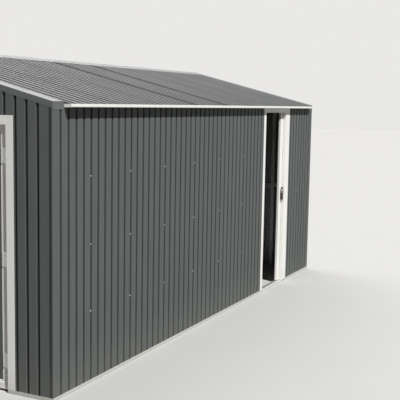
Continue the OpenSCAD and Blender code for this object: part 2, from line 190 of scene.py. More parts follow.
class Graph(Nodes):
    """Node tree of one finish, with its shader and the patterns that finishes share."""

    def __init__(self, name: str, metallic: float = 0.0, specular: float = 0.4) -> None:
        """Starts a material with one principled shader.

        Args:
            name: Name of the material.
            metallic: How metallic the whole surface is.
            specular: Level of the shader's reflection.
        """
        self.material = bpy.data.materials.new(name)
        self.material.use_nodes = True
        super().__init__(self.material.node_tree)
        self.shader = self.add("ShaderNodeBsdfPrincipled")
        self.shader.inputs["Metallic"].default_value = metallic
        self.shader.inputs["Specular IOR Level"].default_value = specular
        output = self.add("ShaderNodeOutputMaterial")
        self.feed(self.shader.outputs["BSDF"], output.inputs["Surface"])
        self.place = self.add("ShaderNodeTexCoord").outputs["Object"]

    def parts(self, vector: Socket) -> Sequence[Socket]:
        """Splits a vector.

        Args:
            vector: The vector.

        Returns:
            Its three numbers.
        """
        node = self.add("ShaderNodeSeparateXYZ")
        self.feed(vector, node.inputs[0])
        return node.outputs

    def grain(self, scale: float, detail: float, *stretch: float) -> Socket:
        """Cloudy noise.

        Args:
            scale: Clouds to the metre.
            detail: How many finer layers are added.
            stretch: How much finer it is along X, Y and Z, where they differ.

        Returns:
            A value from 0 to 1.
        """
        place = self.place
        if stretch:
            scaled = self.add("ShaderNodeVectorMath", operation="MULTIPLY")
            self.feed(place, scaled.inputs[0])
            self.feed(stretch, scaled.inputs[1])
            place = scaled.outputs[0]
        node = self.add("ShaderNodeTexNoise")
        self.feed(place, node.inputs["Vector"])
        node.inputs["Scale"].default_value = scale
        node.inputs["Detail"].default_value = detail
        return node.outputs["Fac"]

    def cells(self, scale: float) -> Socket:
        """Crystal cells, each with a value of its own.

        Args:
            scale: Cells to the metre.

        Returns:
            The value of each cell.
        """
        node = self.add("ShaderNodeTexVoronoi")
        self.feed(self.place, node.inputs["Vector"])
        node.inputs["Scale"].default_value = scale
        return self.parts(node.outputs["Color"])[0]

    def total(self, *values: object) -> Socket:
        """Adds numbers up.

        Args:
            values: The numbers.

        Returns:
            Their sum.
        """
        result: object = 0.0
        for value in values:
            result = self.maths("ADD", value, result)
        return result

    def blend(self, share: object, first: object, second: object, mode: str = "MIX") -> Socket:
        """Mixes two colours.

        Args:
            share: How much of the second colour shows.
            first: First colour.
            second: Second colour.
            mode: How they are mixed.

        Returns:
            The mixed colour.
        """
        node = self.add("ShaderNodeMix", data_type="RGBA", blend_type=mode)
        self.feed(share, node.inputs[0])
        self.feed(first, node.inputs[6])
        self.feed(second, node.inputs[7])
        return node.outputs[2]

    def shaded(self, colour: object, *parts: tuple[object, float]) -> Socket:
        """Makes a colour lighter and darker by several patterns at once.

        Args:
            colour: The plain colour.
            parts: Each pattern, from 0 to 1, and how far it moves the colour each way.

        Returns:
            The varied colour.
        """
        moves = [self.span(value, 0.2, 0.8, -amount, amount) for value, amount in parts]
        return self.blend(1.0, colour, self.maths("ADD", self.total(*moves), 1.0), "MULTIPLY")

    def done(self, colour: object, roughness: object, *layers: tuple[object, float]) -> bpy.types.Material:
        """Puts colour, roughness and relief on the shader.

        Args:
            colour: Colour of the surface.
            roughness: Roughness of the surface.
            layers: Patterns that raise the surface, each from 0 to 1, with their heights in metres.

        Returns:
            The finished material.
        """
        self.feed(colour, self.shader.inputs["Base Color"])
        self.feed(roughness, self.shader.inputs["Roughness"])
        normal = self.shader.inputs["Normal"]
        for height, depth in reversed(layers):
            node = self.add("ShaderNodeBump")
            node.inputs["Distance"].default_value = depth
            self.feed(height, node.inputs["Height"])
            self.feed(node.outputs["Normal"], normal)
            normal = node.inputs["Normal"]
        return self.material


@dataclass(frozen=True)
class Finish:
    """What every finish has: a name, a colour and a roughness."""

    name: str
    colour: Colour
    roughness: float

    @cache
    def material(self) -> bpy.types.Material:
        """Makes the material once."""
        return self.made()

    def made(self) -> bpy.types.Material:
        """Builds the finish's node tree."""
        raise NotImplementedError


@dataclass(frozen=True)
class SheetCoat(Finish):
    """Satin coat on ribbed steel.

    Panels differ a little. Shade is painted in and beside the grooves and along the laps. The foot is dusty.
    The painted shade along the laps is darkest round one place on the sheet.
    """

    # Near-black colour of the painted shade in and beside the grooves and along the laps
    shade_colour: Colour = (0.03, 0.031, 0.029)
    dust: Colour = (0.33, 0.31, 0.27)
    # Strength of the painted shade in the grooves, and the share of their depth at which it is full
    groove_shade: float = 0.9
    groove_edge: float = 0.75
    # Painted shade on the flats within edge_band of a groove
    edge_shade: float = 0.0
    edge_band: Point = (0.0125, 0.0215)
    pitch: float = 0.0875
    # Painted shadow along the laps, within lap_band of a lap
    lap_shade: float = 0.0
    lap_band: Point = (0.034, 0.046)
    darkest_at: float = -0.3
    dark_band: Point = (0.5, 0.9)
    other_laps: float = 0.2
    foot_dust: float = 0.22
    foot_height: float = 0.32
    panel: float = 0.525
    specular: float = 0.07

    def made(self) -> bpy.types.Material:
        """Builds the finish from where each point is on its sheet.

        Returns:
            The material.
        """
        graph = Graph(self.name, specular=self.specular)
        graph.place = graph.add("ShaderNodeAttribute", attribute_name=SHEET_PLACE).outputs["Vector"]
        along, up, recess = graph.parts(graph.place)
        number = graph.maths("FLOOR", graph.maths("DIVIDE", along, self.panel))
        tone = graph.add("ShaderNodeTexWhiteNoise", noise_dimensions="1D")
        graph.feed(number, tone.inputs["W"])
        streaks = graph.grain(1.0, 4.0, 60.0, 1.1, 0.0)
        clouds = graph.grain(3.2, 4.0, 1.0, 0.6, 0.0)
        specks = graph.grain(420.0, 2.0, 1.0, 1.0, 0.0)
        colour = graph.shaded(self.colour, (tone.outputs["Value"], 0.035), (streaks, 0.07), (clouds, 0.06),
                              (specks, 0.05))
        # Painted shade in the grooves, stronger with depth and a little uneven along the streaks
        groove_share = graph.maths("MULTIPLY", graph.span(recess, 0.0, self.groove_edge, 0.0, 1.0),
                           graph.span(streaks, 0.2, 0.7, 0.85, 1.0))
        # Painted shade on the flats just beside each groove
        beside = graph.maths("PINGPONG", along, 0.5 * self.pitch)
        # Painted shadow along the laps, darkest round darkest_at and fainter on the other laps
        across = graph.maths("PINGPONG", along, 0.5 * self.panel)
        away = graph.maths("ABSOLUTE", graph.maths("ADD", along, -self.darkest_at))
        dark = graph.span(away, *self.dark_band, 1.0, self.other_laps)
        seam = graph.maths("MULTIPLY", dark, graph.span(across, *self.lap_band, self.lap_shade, 0.0))
        edge_and_lap_shade = graph.maths("MAXIMUM", graph.span(beside, *self.edge_band, self.edge_shade, 0.0), seam)
        # The painted shade of grooves, groove edges and laps is laid on as a near-black colour
        darkened = graph.maths("MAXIMUM", graph.maths("MULTIPLY", groove_share, self.groove_shade), edge_and_lap_shade)
        colour = graph.blend(darkened, colour, self.shade_colour)
        splash = graph.grain(1.0, 6.0, 14.0, 9.0, 0.0)
        edge = graph.maths("ADD", up, graph.span(splash, 0.3, 0.7, -0.1, 0.1))
        dusty = graph.maths("MULTIPLY", graph.span(edge, 0.0, self.foot_height, 1.0, 0.0),
                            graph.span(splash, 0.35, 0.7, 0.25 * self.foot_dust, self.foot_dust))
        colour = graph.blend(dusty, colour, self.dust)
        roughness = graph.total(
            graph.span(clouds, 0.3, 0.7, self.roughness - 0.05, self.roughness + 0.05),
            graph.maths("MULTIPLY", dusty, 0.4), graph.maths("MULTIPLY", darkened, 0.4),
            graph.span(streaks, 0.3, 0.7, -0.03, 0.03))
        peel = graph.grain(700.0, 2.0, 1.0, 1.0, 0.0)
        return graph.done(colour, roughness, (peel, 0.00005), (splash, 0.0001))


@dataclass(frozen=True)
class TrimCoat(Finish):
    """Smooth coat on folded trims, with rain streaks, dull patches and grime near the ground."""

    grime: Colour = (0.3, 0.27, 0.22)
    foot_grime: float = 0.35
    foot_height: float = 0.16
    variation: float = 0.03
    specular: float = 0.35

    def made(self) -> bpy.types.Material:
        """Builds the finish from the place on the building.

        Returns:
            The material.
        """
        graph = Graph(self.name, specular=self.specular)
        up = graph.parts(graph.place)[2]
        clouds = graph.grain(5.0, 4.0)
        streaks = graph.grain(1.0, 3.0, 85.0, 85.0, 1.6)
        specks = graph.grain(380.0, 2.0)
        colour = graph.shaded(self.colour, (clouds, self.variation), (streaks, self.variation),
                              (specks, 0.6 * self.variation))
        splash = graph.grain(1.0, 6.0, 22.0, 22.0, 12.0)
        edge = graph.maths("ADD", up, graph.span(splash, 0.3, 0.7, -0.06, 0.06))
        darkened = graph.maths("MULTIPLY", graph.span(edge, 0.0, self.foot_height, 1.0, 0.0),
                            graph.span(splash, 0.4, 0.75, 0.1 * self.foot_grime, self.foot_grime))
        runs = graph.span(streaks, 0.6, 0.85, 0.0, 0.1)
        colour = graph.blend(graph.maths("ADD", darkened, runs), colour, self.grime)
        roughness = graph.total(
            graph.span(clouds, 0.3, 0.7, self.roughness - 0.06, self.roughness + 0.06),
            graph.maths("MULTIPLY", darkened, 0.4))
        peel = graph.grain(650.0, 2.0)
        return graph.done(colour, roughness, (peel, 0.00004), (clouds, 0.0002))


@dataclass(frozen=True)
class Galvanised(Finish):
    """Zinc-coated steel with spangle crystals and dull grey bloom."""

    bloom: Colour = (0.55, 0.56, 0.56)
    crystals: float = 70.0
    metallic: float = 0.65

    def made(self) -> bpy.types.Material:
        """Builds the finish from the place on the building.

        Returns:
            The material.
        """
        graph = Graph(self.name, metallic=self.metallic)
        spangle = graph.cells(self.crystals)
        clouds = graph.grain(7.0, 5.0)
        colour = graph.shaded(self.colour, (spangle, 0.16), (clouds, 0.08))
        colour = graph.blend(graph.span(clouds, 0.5, 0.75, 0.0, 0.5), colour, self.bloom)
        roughness = graph.total(
            graph.span(spangle, 0.0, 1.0, self.roughness - 0.08, self.roughness + 0.08),
            graph.span(clouds, 0.4, 0.7, 0.0, 0.12))
        fine = graph.grain(500.0, 2.0)
        return graph.done(colour, roughness, (spangle, 0.00003), (fine, 0.00003))


@dataclass(frozen=True)
class BrushedMetal(Finish):
    """Drawn aluminium with lines along X, scuffs and trodden dust."""

    dust: Colour = (0.36, 0.33, 0.28)
    dust_share: float = 0.45
    metallic: float = 0.7

    def made(self) -> bpy.types.Material:
        """Builds the finish from the place on the building.

        Returns:
            The material.
        """
        graph = Graph(self.name, metallic=self.metallic)
        lines = graph.grain(1.0, 2.0, 4.0, 900.0, 900.0)
        scuffs = graph.grain(1.0, 5.0, 30.0, 90.0, 90.0)
        colour = graph.shaded(self.colour, (lines, 0.07), (scuffs, 0.1))
        dusty = graph.span(scuffs, 0.42, 0.72, 0.0, self.dust_share)
        colour = graph.blend(dusty, colour, self.dust)
        roughness = graph.total(
            graph.span(lines, 0.3, 0.7, self.roughness - 0.05, self.roughness + 0.05),
            graph.maths("MULTIPLY", dusty, 0.5))
        return graph.done(colour, roughness, (lines, 0.00004), (scuffs, 0.00008))


@dataclass(frozen=True)
class Moulded(Finish):
    """Moulded plastic or rubber with a fine grain and worn, lighter places."""

    worn: Colour = (0.16, 0.13, 0.12)
    grain_scale: float = 1100.0
    specular: float = 0.45

    def made(self) -> bpy.types.Material:
        """Builds the finish from the place on the building.

        Returns:
            The material.
        """
        graph = Graph(self.name, specular=self.specular)
        grain = graph.grain(self.grain_scale, 2.0)
        wear = graph.grain(60.0, 5.0)
        colour = graph.shaded(self.colour, (grain, 0.12), (wear, 0.15))
        colour = graph.blend(graph.span(wear, 0.55, 0.8, 0.0, 0.35), colour, self.worn)
        roughness = graph.span(wear, 0.3, 0.7, self.roughness + 0.06, self.roughness - 0.08)
        return graph.done(colour, roughness, (grain, 0.00006), (wear, 0.00005))


@dataclass(frozen=True)
class BrightMetal(Finish):
    """Plated metal with fine scratches and slight tarnish."""

    tarnish: Colour = (0.3, 0.28, 0.25)

    def made(self) -> bpy.types.Material:
        """Builds the finish from the place on the building.

        Returns:
            The material.
        """
        graph = Graph(self.name, metallic=1.0)
        scratches = graph.grain(1.0, 3.0, 260.0, 260.0, 2200.0)
        clouds = graph.grain(140.0, 4.0)
        colour = graph.shaded(self.colour, (scratches, 0.05), (clouds, 0.05))
        colour = graph.blend(graph.span(clouds, 0.55, 0.8, 0.0, 0.4), colour, self.tarnish)
        roughness = graph.total(
            graph.span(clouds, 0.3, 0.7, self.roughness - 0.06, self.roughness + 0.08),
            graph.span(scratches, 0.4, 0.7, 0.0, 0.08))
        return graph.done(colour, roughness, (scratches, 0.00002), (clouds, 0.00002))


WALL_COAT = SheetCoat("wall_sheet_coat", (0.119, 0.13, 0.125), 0.55)
# The roof's coat has strong painted shade in and beside its grooves and a painted shadow along its laps
ROOF_COAT = SheetCoat("roof_sheet_coat", (0.108, 0.113, 0.112), 0.52, foot_dust=0.0, groove_shade=1.0,
                      groove_edge=0.1, edge_shade=0.85, lap_shade=1.0, panel=0.6125)
BACK_COAT = SheetCoat("sheet_back_coat", (0.29, 0.295, 0.29), 0.6, foot_dust=0.2, groove_shade=0.0)
CREAM = TrimCoat("cream_trim_coat", (0.925, 0.915, 0.875), 0.38)
ROOF_TRIM = TrimCoat("roof_trim_coat", (0.128, 0.136, 0.133), 0.48, foot_grime=0.0, variation=0.05)
FOOT_COAT = TrimCoat("base_rail_coat", (0.6, 0.6, 0.56), 0.6, foot_grime=0.55, foot_height=0.03)
ZINC = Galvanised("galvanised_steel", (0.8, 0.81, 0.81), 0.45, metallic=0.12)
SCREW_ZINC = Galvanised("zinc_screw", (0.6, 0.61, 0.6), 0.5, crystals=900.0)
ALUMINIUM = BrushedMetal("drawn_aluminium", (0.6, 0.6, 0.58), 0.42)
# Paler, barely metallic coat on the sill's nose: a painted highlight along its lit edge
NOSE_HIGHLIGHT = BrushedMetal("sill_nose_highlight", (0.78, 0.78, 0.75), 0.5, dust_share=0.05, metallic=0.1)
BROWN_PLASTIC = Moulded("dark_brown_plastic", (0.052, 0.03, 0.026), 0.42)
BLACK_RUBBER = Moulded("black_rubber", (0.018, 0.018, 0.018), 0.72, worn=(0.06, 0.06, 0.06), specular=0.25)
BLACK_NYLON = Moulded("black_nylon", (0.028, 0.028, 0.03), 0.5, worn=(0.1, 0.1, 0.1))
NICKEL = BrightMetal("bright_nickel", (0.74, 0.73, 0.7), 0.24)


def rounded(path: Path, bend: float, steps: int = 3) -> list[Point]:
    """Rounds the inner corners of an open path.

    Args:
        path: Corners of the path.
        bend: Distance from a corner at which its bend starts.
        steps: Straight stretches in a bend.

    Returns:
        The path with its bends.
    """
    result = [path[0]]
    for before, corner, after in zip(path, path[1:], path[2:]):
        here = Vector(corner)
        back, on = Vector(before) - here, Vector(after) - here
        reach = min(bend, 0.45 * min(back.length, on.length))
        start, end = here + reach * back.normalized(), here + reach * on.normalized()
        for k in range(steps + 1):
            t = k / steps
            spot = (1 - t) ** 2 * start + 2 * t * (1 - t) * here + t * t * end
            result.append((spot.x, spot.y))
    result.append(path[-1])
    return result


def offset(path: Path, distance: float) -> list[Point]:
    """Moves an open path sideways.

    Args:
        path: Points of the path.
        distance: How far it moves, to its left.

    Returns:
        The moved points.
    """
    result = []
    for k, here in enumerate(path):
        before, after = path[max(k - 1, 0)], path[min(k + 1, len(path) - 1)]
        ways = [Vector(b) - Vector(a) for a, b in ((before, here), (here, after)) if a != b]
        lefts = [Vector((-way.y, way.x)).normalized() for way in ways]
        middle = sum(lefts, Vector((0.0, 0.0))).normalized()
        spot = Vector(here) + middle * (distance / max(middle.dot(lefts[0]), 0.5))
        result.append((spot.x, spot.y))
    return result


def upright_plate(half: float, foot: float, top: float, start: float, bend: float, steps: int) -> list[Point]:
    """Outline of an upright plate with rounded corners.

    Args:
        half: Half its width.
        foot: Its lower end.
        top: Its upper end.
        start: Height at which the outline starts and ends, clear of the corners.
        bend: Size of the corners.
        steps: Straight stretches in a corner.

    Returns:
        The outline.
    """
    corners = [(-half, start), (-half, foot), (half, foot), (half, top), (-half, top), (-half, start)]
    return rounded(corners, bend, steps)[:-1]


def angles(count: int) -> list[float]:
    """Even angles round a whole turn."""
    return [k * math.tau / count for k in range(count)]


def fuller(value: float) -> float:
    """A cosine or sine pushed outwards, so that an oval made with it has fuller corners."""
    return math.copysign(abs(value) ** 0.6, value)


def lengthwise(along: float = 1.0, across: float = 1.0, place: float = 0.0) -> Matrix:
    """Own frame of a member that runs along X, with its own X pointing along Y and its own Y up.

    Args:
        along: 1 if the member runs towards +X, -1 if it runs towards -X.
        across: 1 if its own X points towards +Y, -1 if towards -Y.
        place: Y of its own X at 0.

    Returns:
        The matrix of that frame.
    """
    return Matrix(((0, 0, along, 0), (across, 0, 0, place), (0, 1, 0, 0), (0, 0, 0, 1)))


def facing(spot: Vector, outward: Vector, turn: float = 0.0) -> Matrix:
    """Place on a surface with Z square to it.

    Args:
        spot: The place.
        outward: Direction away from the surface.
        turn: Turn about that direction, in radians.

    Returns:
        The matrix of the place.
    """
    return (Matrix.Translation(spot) @ outward.to_track_quat("Z", "Y").to_matrix().to_4x4()
            @ Matrix.Rotation(turn, 4, "Z"))


@dataclass
class Piece:
    """One visible piece: its mesh as it grows, what it moves with, and the finish of each surface."""

    name: str
    slot: Slot
    coats: tuple[Finish, ...]
    body: Body = Body.BUILDING
    points: list[Vector] = field(default_factory=list)
    faces: Faces = field(default_factory=list)
    coat_of: list[int] = field(default_factory=list)
    places: list[Vector] = field(default_factory=list)

    def add(self, points: Sequence[Vector], faces: Faces, coat: int = 0, turn: Matrix | None = None,
            places: Sequence[Vector] | None = None) -> None:
        """Adds faces to the mesh.

        Args:
            points: Points of the new faces.
            faces: Faces, as places in the list of points.
            coat: Which of the piece's finishes they take.
            turn: Where the points are put.
            places: Where each point is on its sheet.
        """
        first = len(self.points)
        self.points += [turn @ point for point in points] if turn else list(points)
        self.faces += [tuple(first + k for k in face) for face in faces]
        self.coat_of += [coat] * len(faces)
        self.places += places or [Vector((p.x + p.y, p.z, 0.0)) for p in self.points[first:]]

    def sheet(self, face: Grid, back: Grid, coats: tuple[int, int] = (0, 0), turn: Matrix | None = None,
              places: Grid | None = None) -> None:
        """Adds a closed thin sheet.

        Args:
            face: Rows of points on its face.
            back: Rows of points on its back, alike in number.
            coats: Finishes of the face and of the back.
            turn: Where the points are put.
            places: Where each point is on its sheet.
        """
        rows, columns = len(face), len(face[0])
        rear = rows * columns

        def quads(row_count: int, column_count: int, at: Callable[[int, int], int]) -> Faces:
            """Faces of a grid whose points are numbered by a rule."""
            return [(at(r, c), at(r, c + 1), at(r + 1, c + 1), at(r + 1, c))
                    for r in range(row_count - 1) for c in range(column_count - 1)]

        front_faces = quads(rows, columns, lambda r, c: r * columns + c)
        back_faces = quads(rows, columns, lambda r, c: rear + r * columns + c)
        rims = []
        for r in (0, rows - 1):
            edge = [r * columns + c for c in range(columns)]
            rims += [(a, b, rear + b, rear + a) for a, b in zip(edge, edge[1:])]
        for c in (0, columns - 1):
            edge = [r * columns + c for r in range(rows)]
            rims += [(a, b, rear + b, rear + a) for a, b in zip(edge, edge[1:])]
        points = [p for row in face for p in row] + [p for row in back for p in row]
        spots = 2 * [p for row in places for p in row] if places else None
        self.add(points, front_faces + back_faces + rims, coats[0], turn, spots)
        start = len(self.coat_of) - len(rims) - len(back_faces)
        self.coat_of[start:start + len(back_faces)] = [coats[1]] * len(back_faces)

    def folded(self, path: Path, steel: float, bend: float, low: float | Rule, high: float | Rule,
               coat: int = 0, turn: Matrix | None = None) -> None:
        """Adds a straight trim folded from thin steel.

        Args:
            path: Corners of the trim's face in its cross-section, X and Y of its own frame.
            steel: Thickness, to the left of the path, or to its right if it is negative.
            bend: Size of its bends.
            low: Where the trim starts along its own Z, or a rule that says so for each point.
            high: Where it ends, or a rule.
            coat: Its finish.
            turn: Where it is put.
        """
        line = rounded(path, bend)
        ends = [end if callable(end) else (lambda _, value=end: value) for end in (low, high)]
        rows = [[[Vector((*moved, end(plain))) for plain, moved in zip(line, layer)] for end in ends]
                for layer in (line, offset(line, steel))]
        self.sheet(rows[0], rows[1], (coat, coat), turn)

    def loft(self, rings: Sequence[Sequence[Vector]], coat: int = 0, turn: Matrix | None = None) -> None:
        """Adds a solid through rings of points, closed at both ends.

        Args:
            rings: Rings of points, alike in number.
            coat: Its finish.
            turn: Where it is put.
        """
        size = len(rings[0])
        faces = []
        for first in range(0, (len(rings) - 1) * size, size):
            faces += [(first + c, first + (c + 1) % size, first + size + (c + 1) % size, first + size + c)
                      for c in range(size)]
        faces += [tuple(range(size)), tuple(range((len(rings) - 1) * size, len(rings) * size))]
        self.add([p for ring in rings for p in ring], faces, coat, turn)

    def prism(self, outline: Path, low: float, high: float, coat: int = 0,
              turn: Matrix | None = None) -> None:
        """Adds an outline drawn out along its own Z.

        Args:
            outline: Points of the outline, X and Y of its own frame.
            low: Where it starts.
            high: Where it ends.
            coat: Its finish.
            turn: Where it is put.
        """
        self.loft([[Vector((*point, z)) for point in outline] for z in (low, high)], coat, turn)

    def block(self, low: Triple, high: Triple, coat: int = 0, turn: Matrix | None = None) -> None:
        """Adds a box between two corners.

        Args:
            low: Its lowest corner.
            high: Its highest corner.
            coat: Its finish.
            turn: Where it is put.
        """
        corners = [(low[0], low[1]), (high[0], low[1]), (high[0], high[1]), (low[0], high[1])]
        self.prism(corners, low[2], high[2], coat, turn)

    def turned(self, profile: Path, steps: int, coat: int = 0, turn: Matrix | None = None) -> None:
        """Adds a solid turned about its own Z.

        Args:
            profile: Radius and height of each ring, from the bottom to the top.
            steps: Sides of a ring.
            coat: Its finish.
            turn: Where it is put.
        """
        rings = [[Vector((radius * math.cos(a), radius * math.sin(a), height)) for a in angles(steps)]
                 for radius, height in profile]
        self.loft(rings, coat, turn)

    def finish(self, *replaces: str, bevel: float = 0.0) -> Part:
        """Makes the Blender object, puts it on its body and reports it.

        Args:
            replaces: Nodes of the frame that it stands for.
            bevel: Width of the bevel along its sharp edges.

        Returns:
            The object.
        """
        mesh = bpy.data.meshes.new(self.name)
        mesh.from_pydata(self.points, [], self.faces)
        for coat in self.coats:
            mesh.materials.append(coat.material())
        mesh.polygons.foreach_set("material_index", self.coat_of)
        places = mesh.attributes.new(SHEET_PLACE, "FLOAT_VECTOR", "POINT")
        places.data.foreach_set("vector", [number for place in self.places for number in place])
        shape = bmesh.new()
        shape.from_mesh(mesh)
        bmesh.ops.recalc_face_normals(shape, faces=shape.faces)
        shape.to_mesh(mesh)
        shape.free()
        mesh.shade_smooth()
        mesh.set_sharp_from_angle(angle=math.radians(EDGE_ANGLE))
        made = bpy.data.objects.new(self.name, mesh)
        bpy.context.scene.collection.objects.link(made)
        soften(made, bevel)
        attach(made, self.body.value)
        if replaces:
            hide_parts(*replaces)
        LOG.info("%s: %d faces on %s", self.name, len(self.faces), self.body.value)
        return made


def soften(target: Part, bevel: float) -> None:
    """Bevels sharp edges and keeps flat faces flat to the eye.

    Args:
        target: The object.
        bevel: Width of the bevel, or 0 for none.
    """
    if bevel > 0.0:
        cut = target.modifiers.new("edge_bevel", "BEVEL")
        cut.width = bevel
        cut.segments = 2
        cut.limit_method = "ANGLE"
        cut.angle_limit = math.radians(BEVEL_ANGLE)
    weighted = target.modifiers.new("flat_faces", "WEIGHTED_NORMAL")
    weighted.keep_sharp = True


def dress(nodes: Sequence[str], coat: Finish, bevel: float = 0.0) -> list[Part]:
    """Gives nodes of the frame a finish, and bevels their edges.

    Args:
        nodes: Names of the nodes.
        coat: Their finish.
        bevel: Width of the bevel, or 0 for none.

    Returns:
        The nodes' objects.
    """
    dressed = []
    for name in nodes:
        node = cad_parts[name]
        for slot in node.material_slots:
            slot.material = coat.material()
        if bevel > 0.0:
            weld = node.modifiers.new("joined_corners", "WELD")
            weld.merge_threshold = 0.2 * HAIR
            soften(node, bevel)
        LOG.info("%s: %s", name, coat.name)
        dressed.append(node)
    return dressed


@dataclass(frozen=True)
class Shell:
    """Outer sizes of the building, read from the frame."""

    half_length: float
    half_width: float
    wall_top: float
    ridge: float
    fall: float
    sheet_depth: float = 0.01

    @classmethod
    def measured(cls) -> "Shell":
        """Reads the sizes from the back wall and the right gable.

        Returns:
            The shell.
        """
        _, wall_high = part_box("back_wall")
        _, gable_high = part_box("right_gable_wall")
        corner = max(v.co.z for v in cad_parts["right_gable_wall"].data.vertices
                     if v.co.y > gable_high.y - HAIR)
        fall = (gable_high.z - corner) / gable_high.y
        return cls(wall_high.x, wall_high.y, wall_high.z, gable_high.z, fall)

    @property
    def slope(self) -> float:
        """Slope of the roof in radians."""
        return math.atan(self.fall)

    def under_roof(self, y: float) -> float:
        """Height of the plane that carries the roof sheets, at a distance from the ridge."""
        return self.ridge - abs(y) * self.fall

    def wall(self, side: Side) -> Matrix:
        """Own frame of a wall: X along it, Y into the building from its face, Z up.

        Args:
            side: The wall's side.

        Returns:
            The matrix of that frame.
        """
        reach = self.half_width if side in (Side.FRONT, Side.BACK) else self.half_length
        return Matrix.Rotation(math.radians(side.value), 4, "Z") @ Matrix.Translation((0.0, -reach, 0.0))

    def roof_panel(self, back: bool) -> Matrix:
        """Own frame of a slope's panels: X along the eave, Y into the panel from its face, Z down the slope.

        Args:
            back: Whether it is the slope at the back.

        Returns:
            The matrix of that frame.
        """
        half_turn = Matrix.Rotation(math.pi if back else 0.0, 4, "Z")
        lift = Matrix.Translation((0.0, 0.0, self.ridge))
        down = Matrix(((1, 0, 0, 0), (0, 0, -1, 0), (0, -1, 0, self.sheet_depth), (0, 0, 0, 1)))
        return half_turn @ lift @ Matrix.Rotation(self.slope, 4, "X") @ down


@dataclass(frozen=True)
class RibProfile:
    """Cross-section of the ribbed sheet, and how panels of it lap."""

    pitch: float = 0.0875
    mouth: float = 0.024
    floor: float = 0.016
    depth: float = 0.009
    plain_edge: float = 0.02
    ribs_per_panel: int = 6
    steel: float = 0.00045
    bend: float = 0.0022
    lap: float = 0.0045

    def grooves(self, start: float, end: float) -> list[int]:
        """Numbers of the grooves between two ends of a sheet.

        Args:
            start: Where the sheet starts.
            end: Where it ends.

        Returns:
            The numbers. Groove 0 is in the middle of its wall.
        """
        inset = self.mouth / 2 + self.plain_edge
        return list(range(math.ceil((start + inset) / self.pitch - 1e-6),
                          math.floor((end - inset) / self.pitch + 1e-6) + 1))

    def laps(self, start: float, end: float) -> list[int]:
        """Numbers of the grooves in which two panels lap."""
        return [k for k in self.grooves(start, end) if k % self.ribs_per_panel == 0]

    def panels(self, start: float, end: float, fold: float = 0.0) -> list[list[Point]]:
        """Faces of the panels that make up a sheet, as rounded paths.

        Args:
            start: Where the sheet starts.
            end: Where it ends.
            fold: Length folded round the corner at each end.

        Returns:
            One path for each panel, distance along the wall and depth.
        """
        numbers = self.grooves(start, end)
        stops = [None, *self.laps(start, end), None]
        paths = []
        for left, right in zip(stops, stops[1:]):
            inner = [k for k in numbers if (left is None or k > left) and (right is None or k < right)]
            path = self.edge(left, start, fold, -1)[::-1]
            for k in inner:
                path += self.groove(k * self.pitch)
            path += self.edge(right, end, fold, 1)
            paths.append(rounded(path, self.bend))
        return paths

    def plain_panel(self, start: float, end: float) -> list[Point]:
        """Face of one panel that ends plain at both sides.

        Args:
            start: Where the panel starts.
            end: Where it ends.

        Returns:
            The rounded path of its face.
        """
        path = [(start, 0.0)]
        for k in self.grooves(start, end):
            path += self.groove(k * self.pitch)
        return rounded([*path, (end, 0.0)], self.bend)

    def groove(self, centre: float) -> list[Point]:
        """The four corners of a groove."""
        return [(centre - self.mouth / 2, 0.0), (centre - self.floor / 2, self.depth),
                (centre + self.floor / 2, self.depth), (centre + self.mouth / 2, 0.0)]

    def edge(self, lap: int | None, end: float, fold: float, side: int) -> list[Point]:
        """Corners at one edge of a panel, from the inside out. Its left edge laps under its neighbour.

        Args:
            lap: Groove in which it laps its neighbour, if it has one.
            end: Where the sheet ends.
            fold: Length folded round the corner.
            side: 1 for the panel's right edge, -1 for its left one.

        Returns:
            The corners.
        """
        if lap is None:
            proud = end + side * 1.3 * self.steel
            return [(proud, 0.0), (proud, fold)] if fold else [(end, 0.0)]
        centre = lap * self.pitch
        depth, reach = self.depth, self.lap
        if side < 0:
            depth += 1.15 * self.steel
            reach += 0.001
        return [(centre - side * self.mouth / 2, 0.0), (centre - side * self.floor / 2, depth),
                (centre + side * reach, depth)]


WALL_RIBS = RibProfile()
ROOF_RIBS = RibProfile(ribs_per_panel=7)


@dataclass(frozen=True)
class HexScrew:
    """Self-drilling screw: a hexagon head on a domed washer, with a rubber ring under it."""

    washer: float = 0.007
    head: float = 0.0046
    height: float = 0.0062

    def add_to(self, piece: Piece, spot: Vector, outward: Vector, turn: float) -> None:
        """Adds the screw to a piece whose finishes are zinc and rubber.

        Args:
            piece: The piece.
            spot: Where the screw goes through the sheet.
            outward: Direction away from the sheet.
            turn: How far the head is turned, in radians.
        """
        at = facing(spot, outward, turn)
        piece.turned([(0.8 * self.washer, 0.0), (0.92 * self.washer, 0.0005), (0.88 * self.washer, 0.001)],
                     10, 1, at)
        piece.turned([(0.96 * self.washer, 0.0009), (self.washer, 0.0012), (0.8 * self.washer, 0.0019),
                      (self.head, 0.0022)], 12, 0, at)
        piece.turned([(self.head, 0.0018), (self.head, self.height - 0.001),
                      (0.82 * self.head, self.height)], 6, 0, at)


@dataclass(frozen=True)
class Rivet:
    """Blind rivet with a low dome and a dimple."""

    radius: float = 0.0036
    height: float = 0.0014

    def add_to(self, piece: Piece, spot: Vector, outward: Vector) -> None:
        """Adds the rivet to a piece, in its first finish.

        Args:
            piece: The piece.
            spot: Where the rivet is.
            outward: Direction away from the sheet.
        """
        shares = [(1.0, 0.0), (1.0, 0.35), (0.75, 0.8), (0.4, 1.0), (0.3, 0.55)]
        profile = [(across * self.radius, up * self.height) for across, up in shares]
        piece.turned(profile, 12, 0, facing(spot, outward))


def spread(start: float, end: float, step: float, margin: float) -> list[float]:
    """Even places between two ends.

    Args:
        start: Where the stretch starts.
        end: Where it ends.
        step: Longest distance between two places.
        margin: Distance of the outer places from the ends.

    Returns:
        The places.
    """
    length = end - start - 2 * margin
    count = max(1, math.ceil(length / step))
    return [start + margin + k * length / count for k in range(count + 1)]


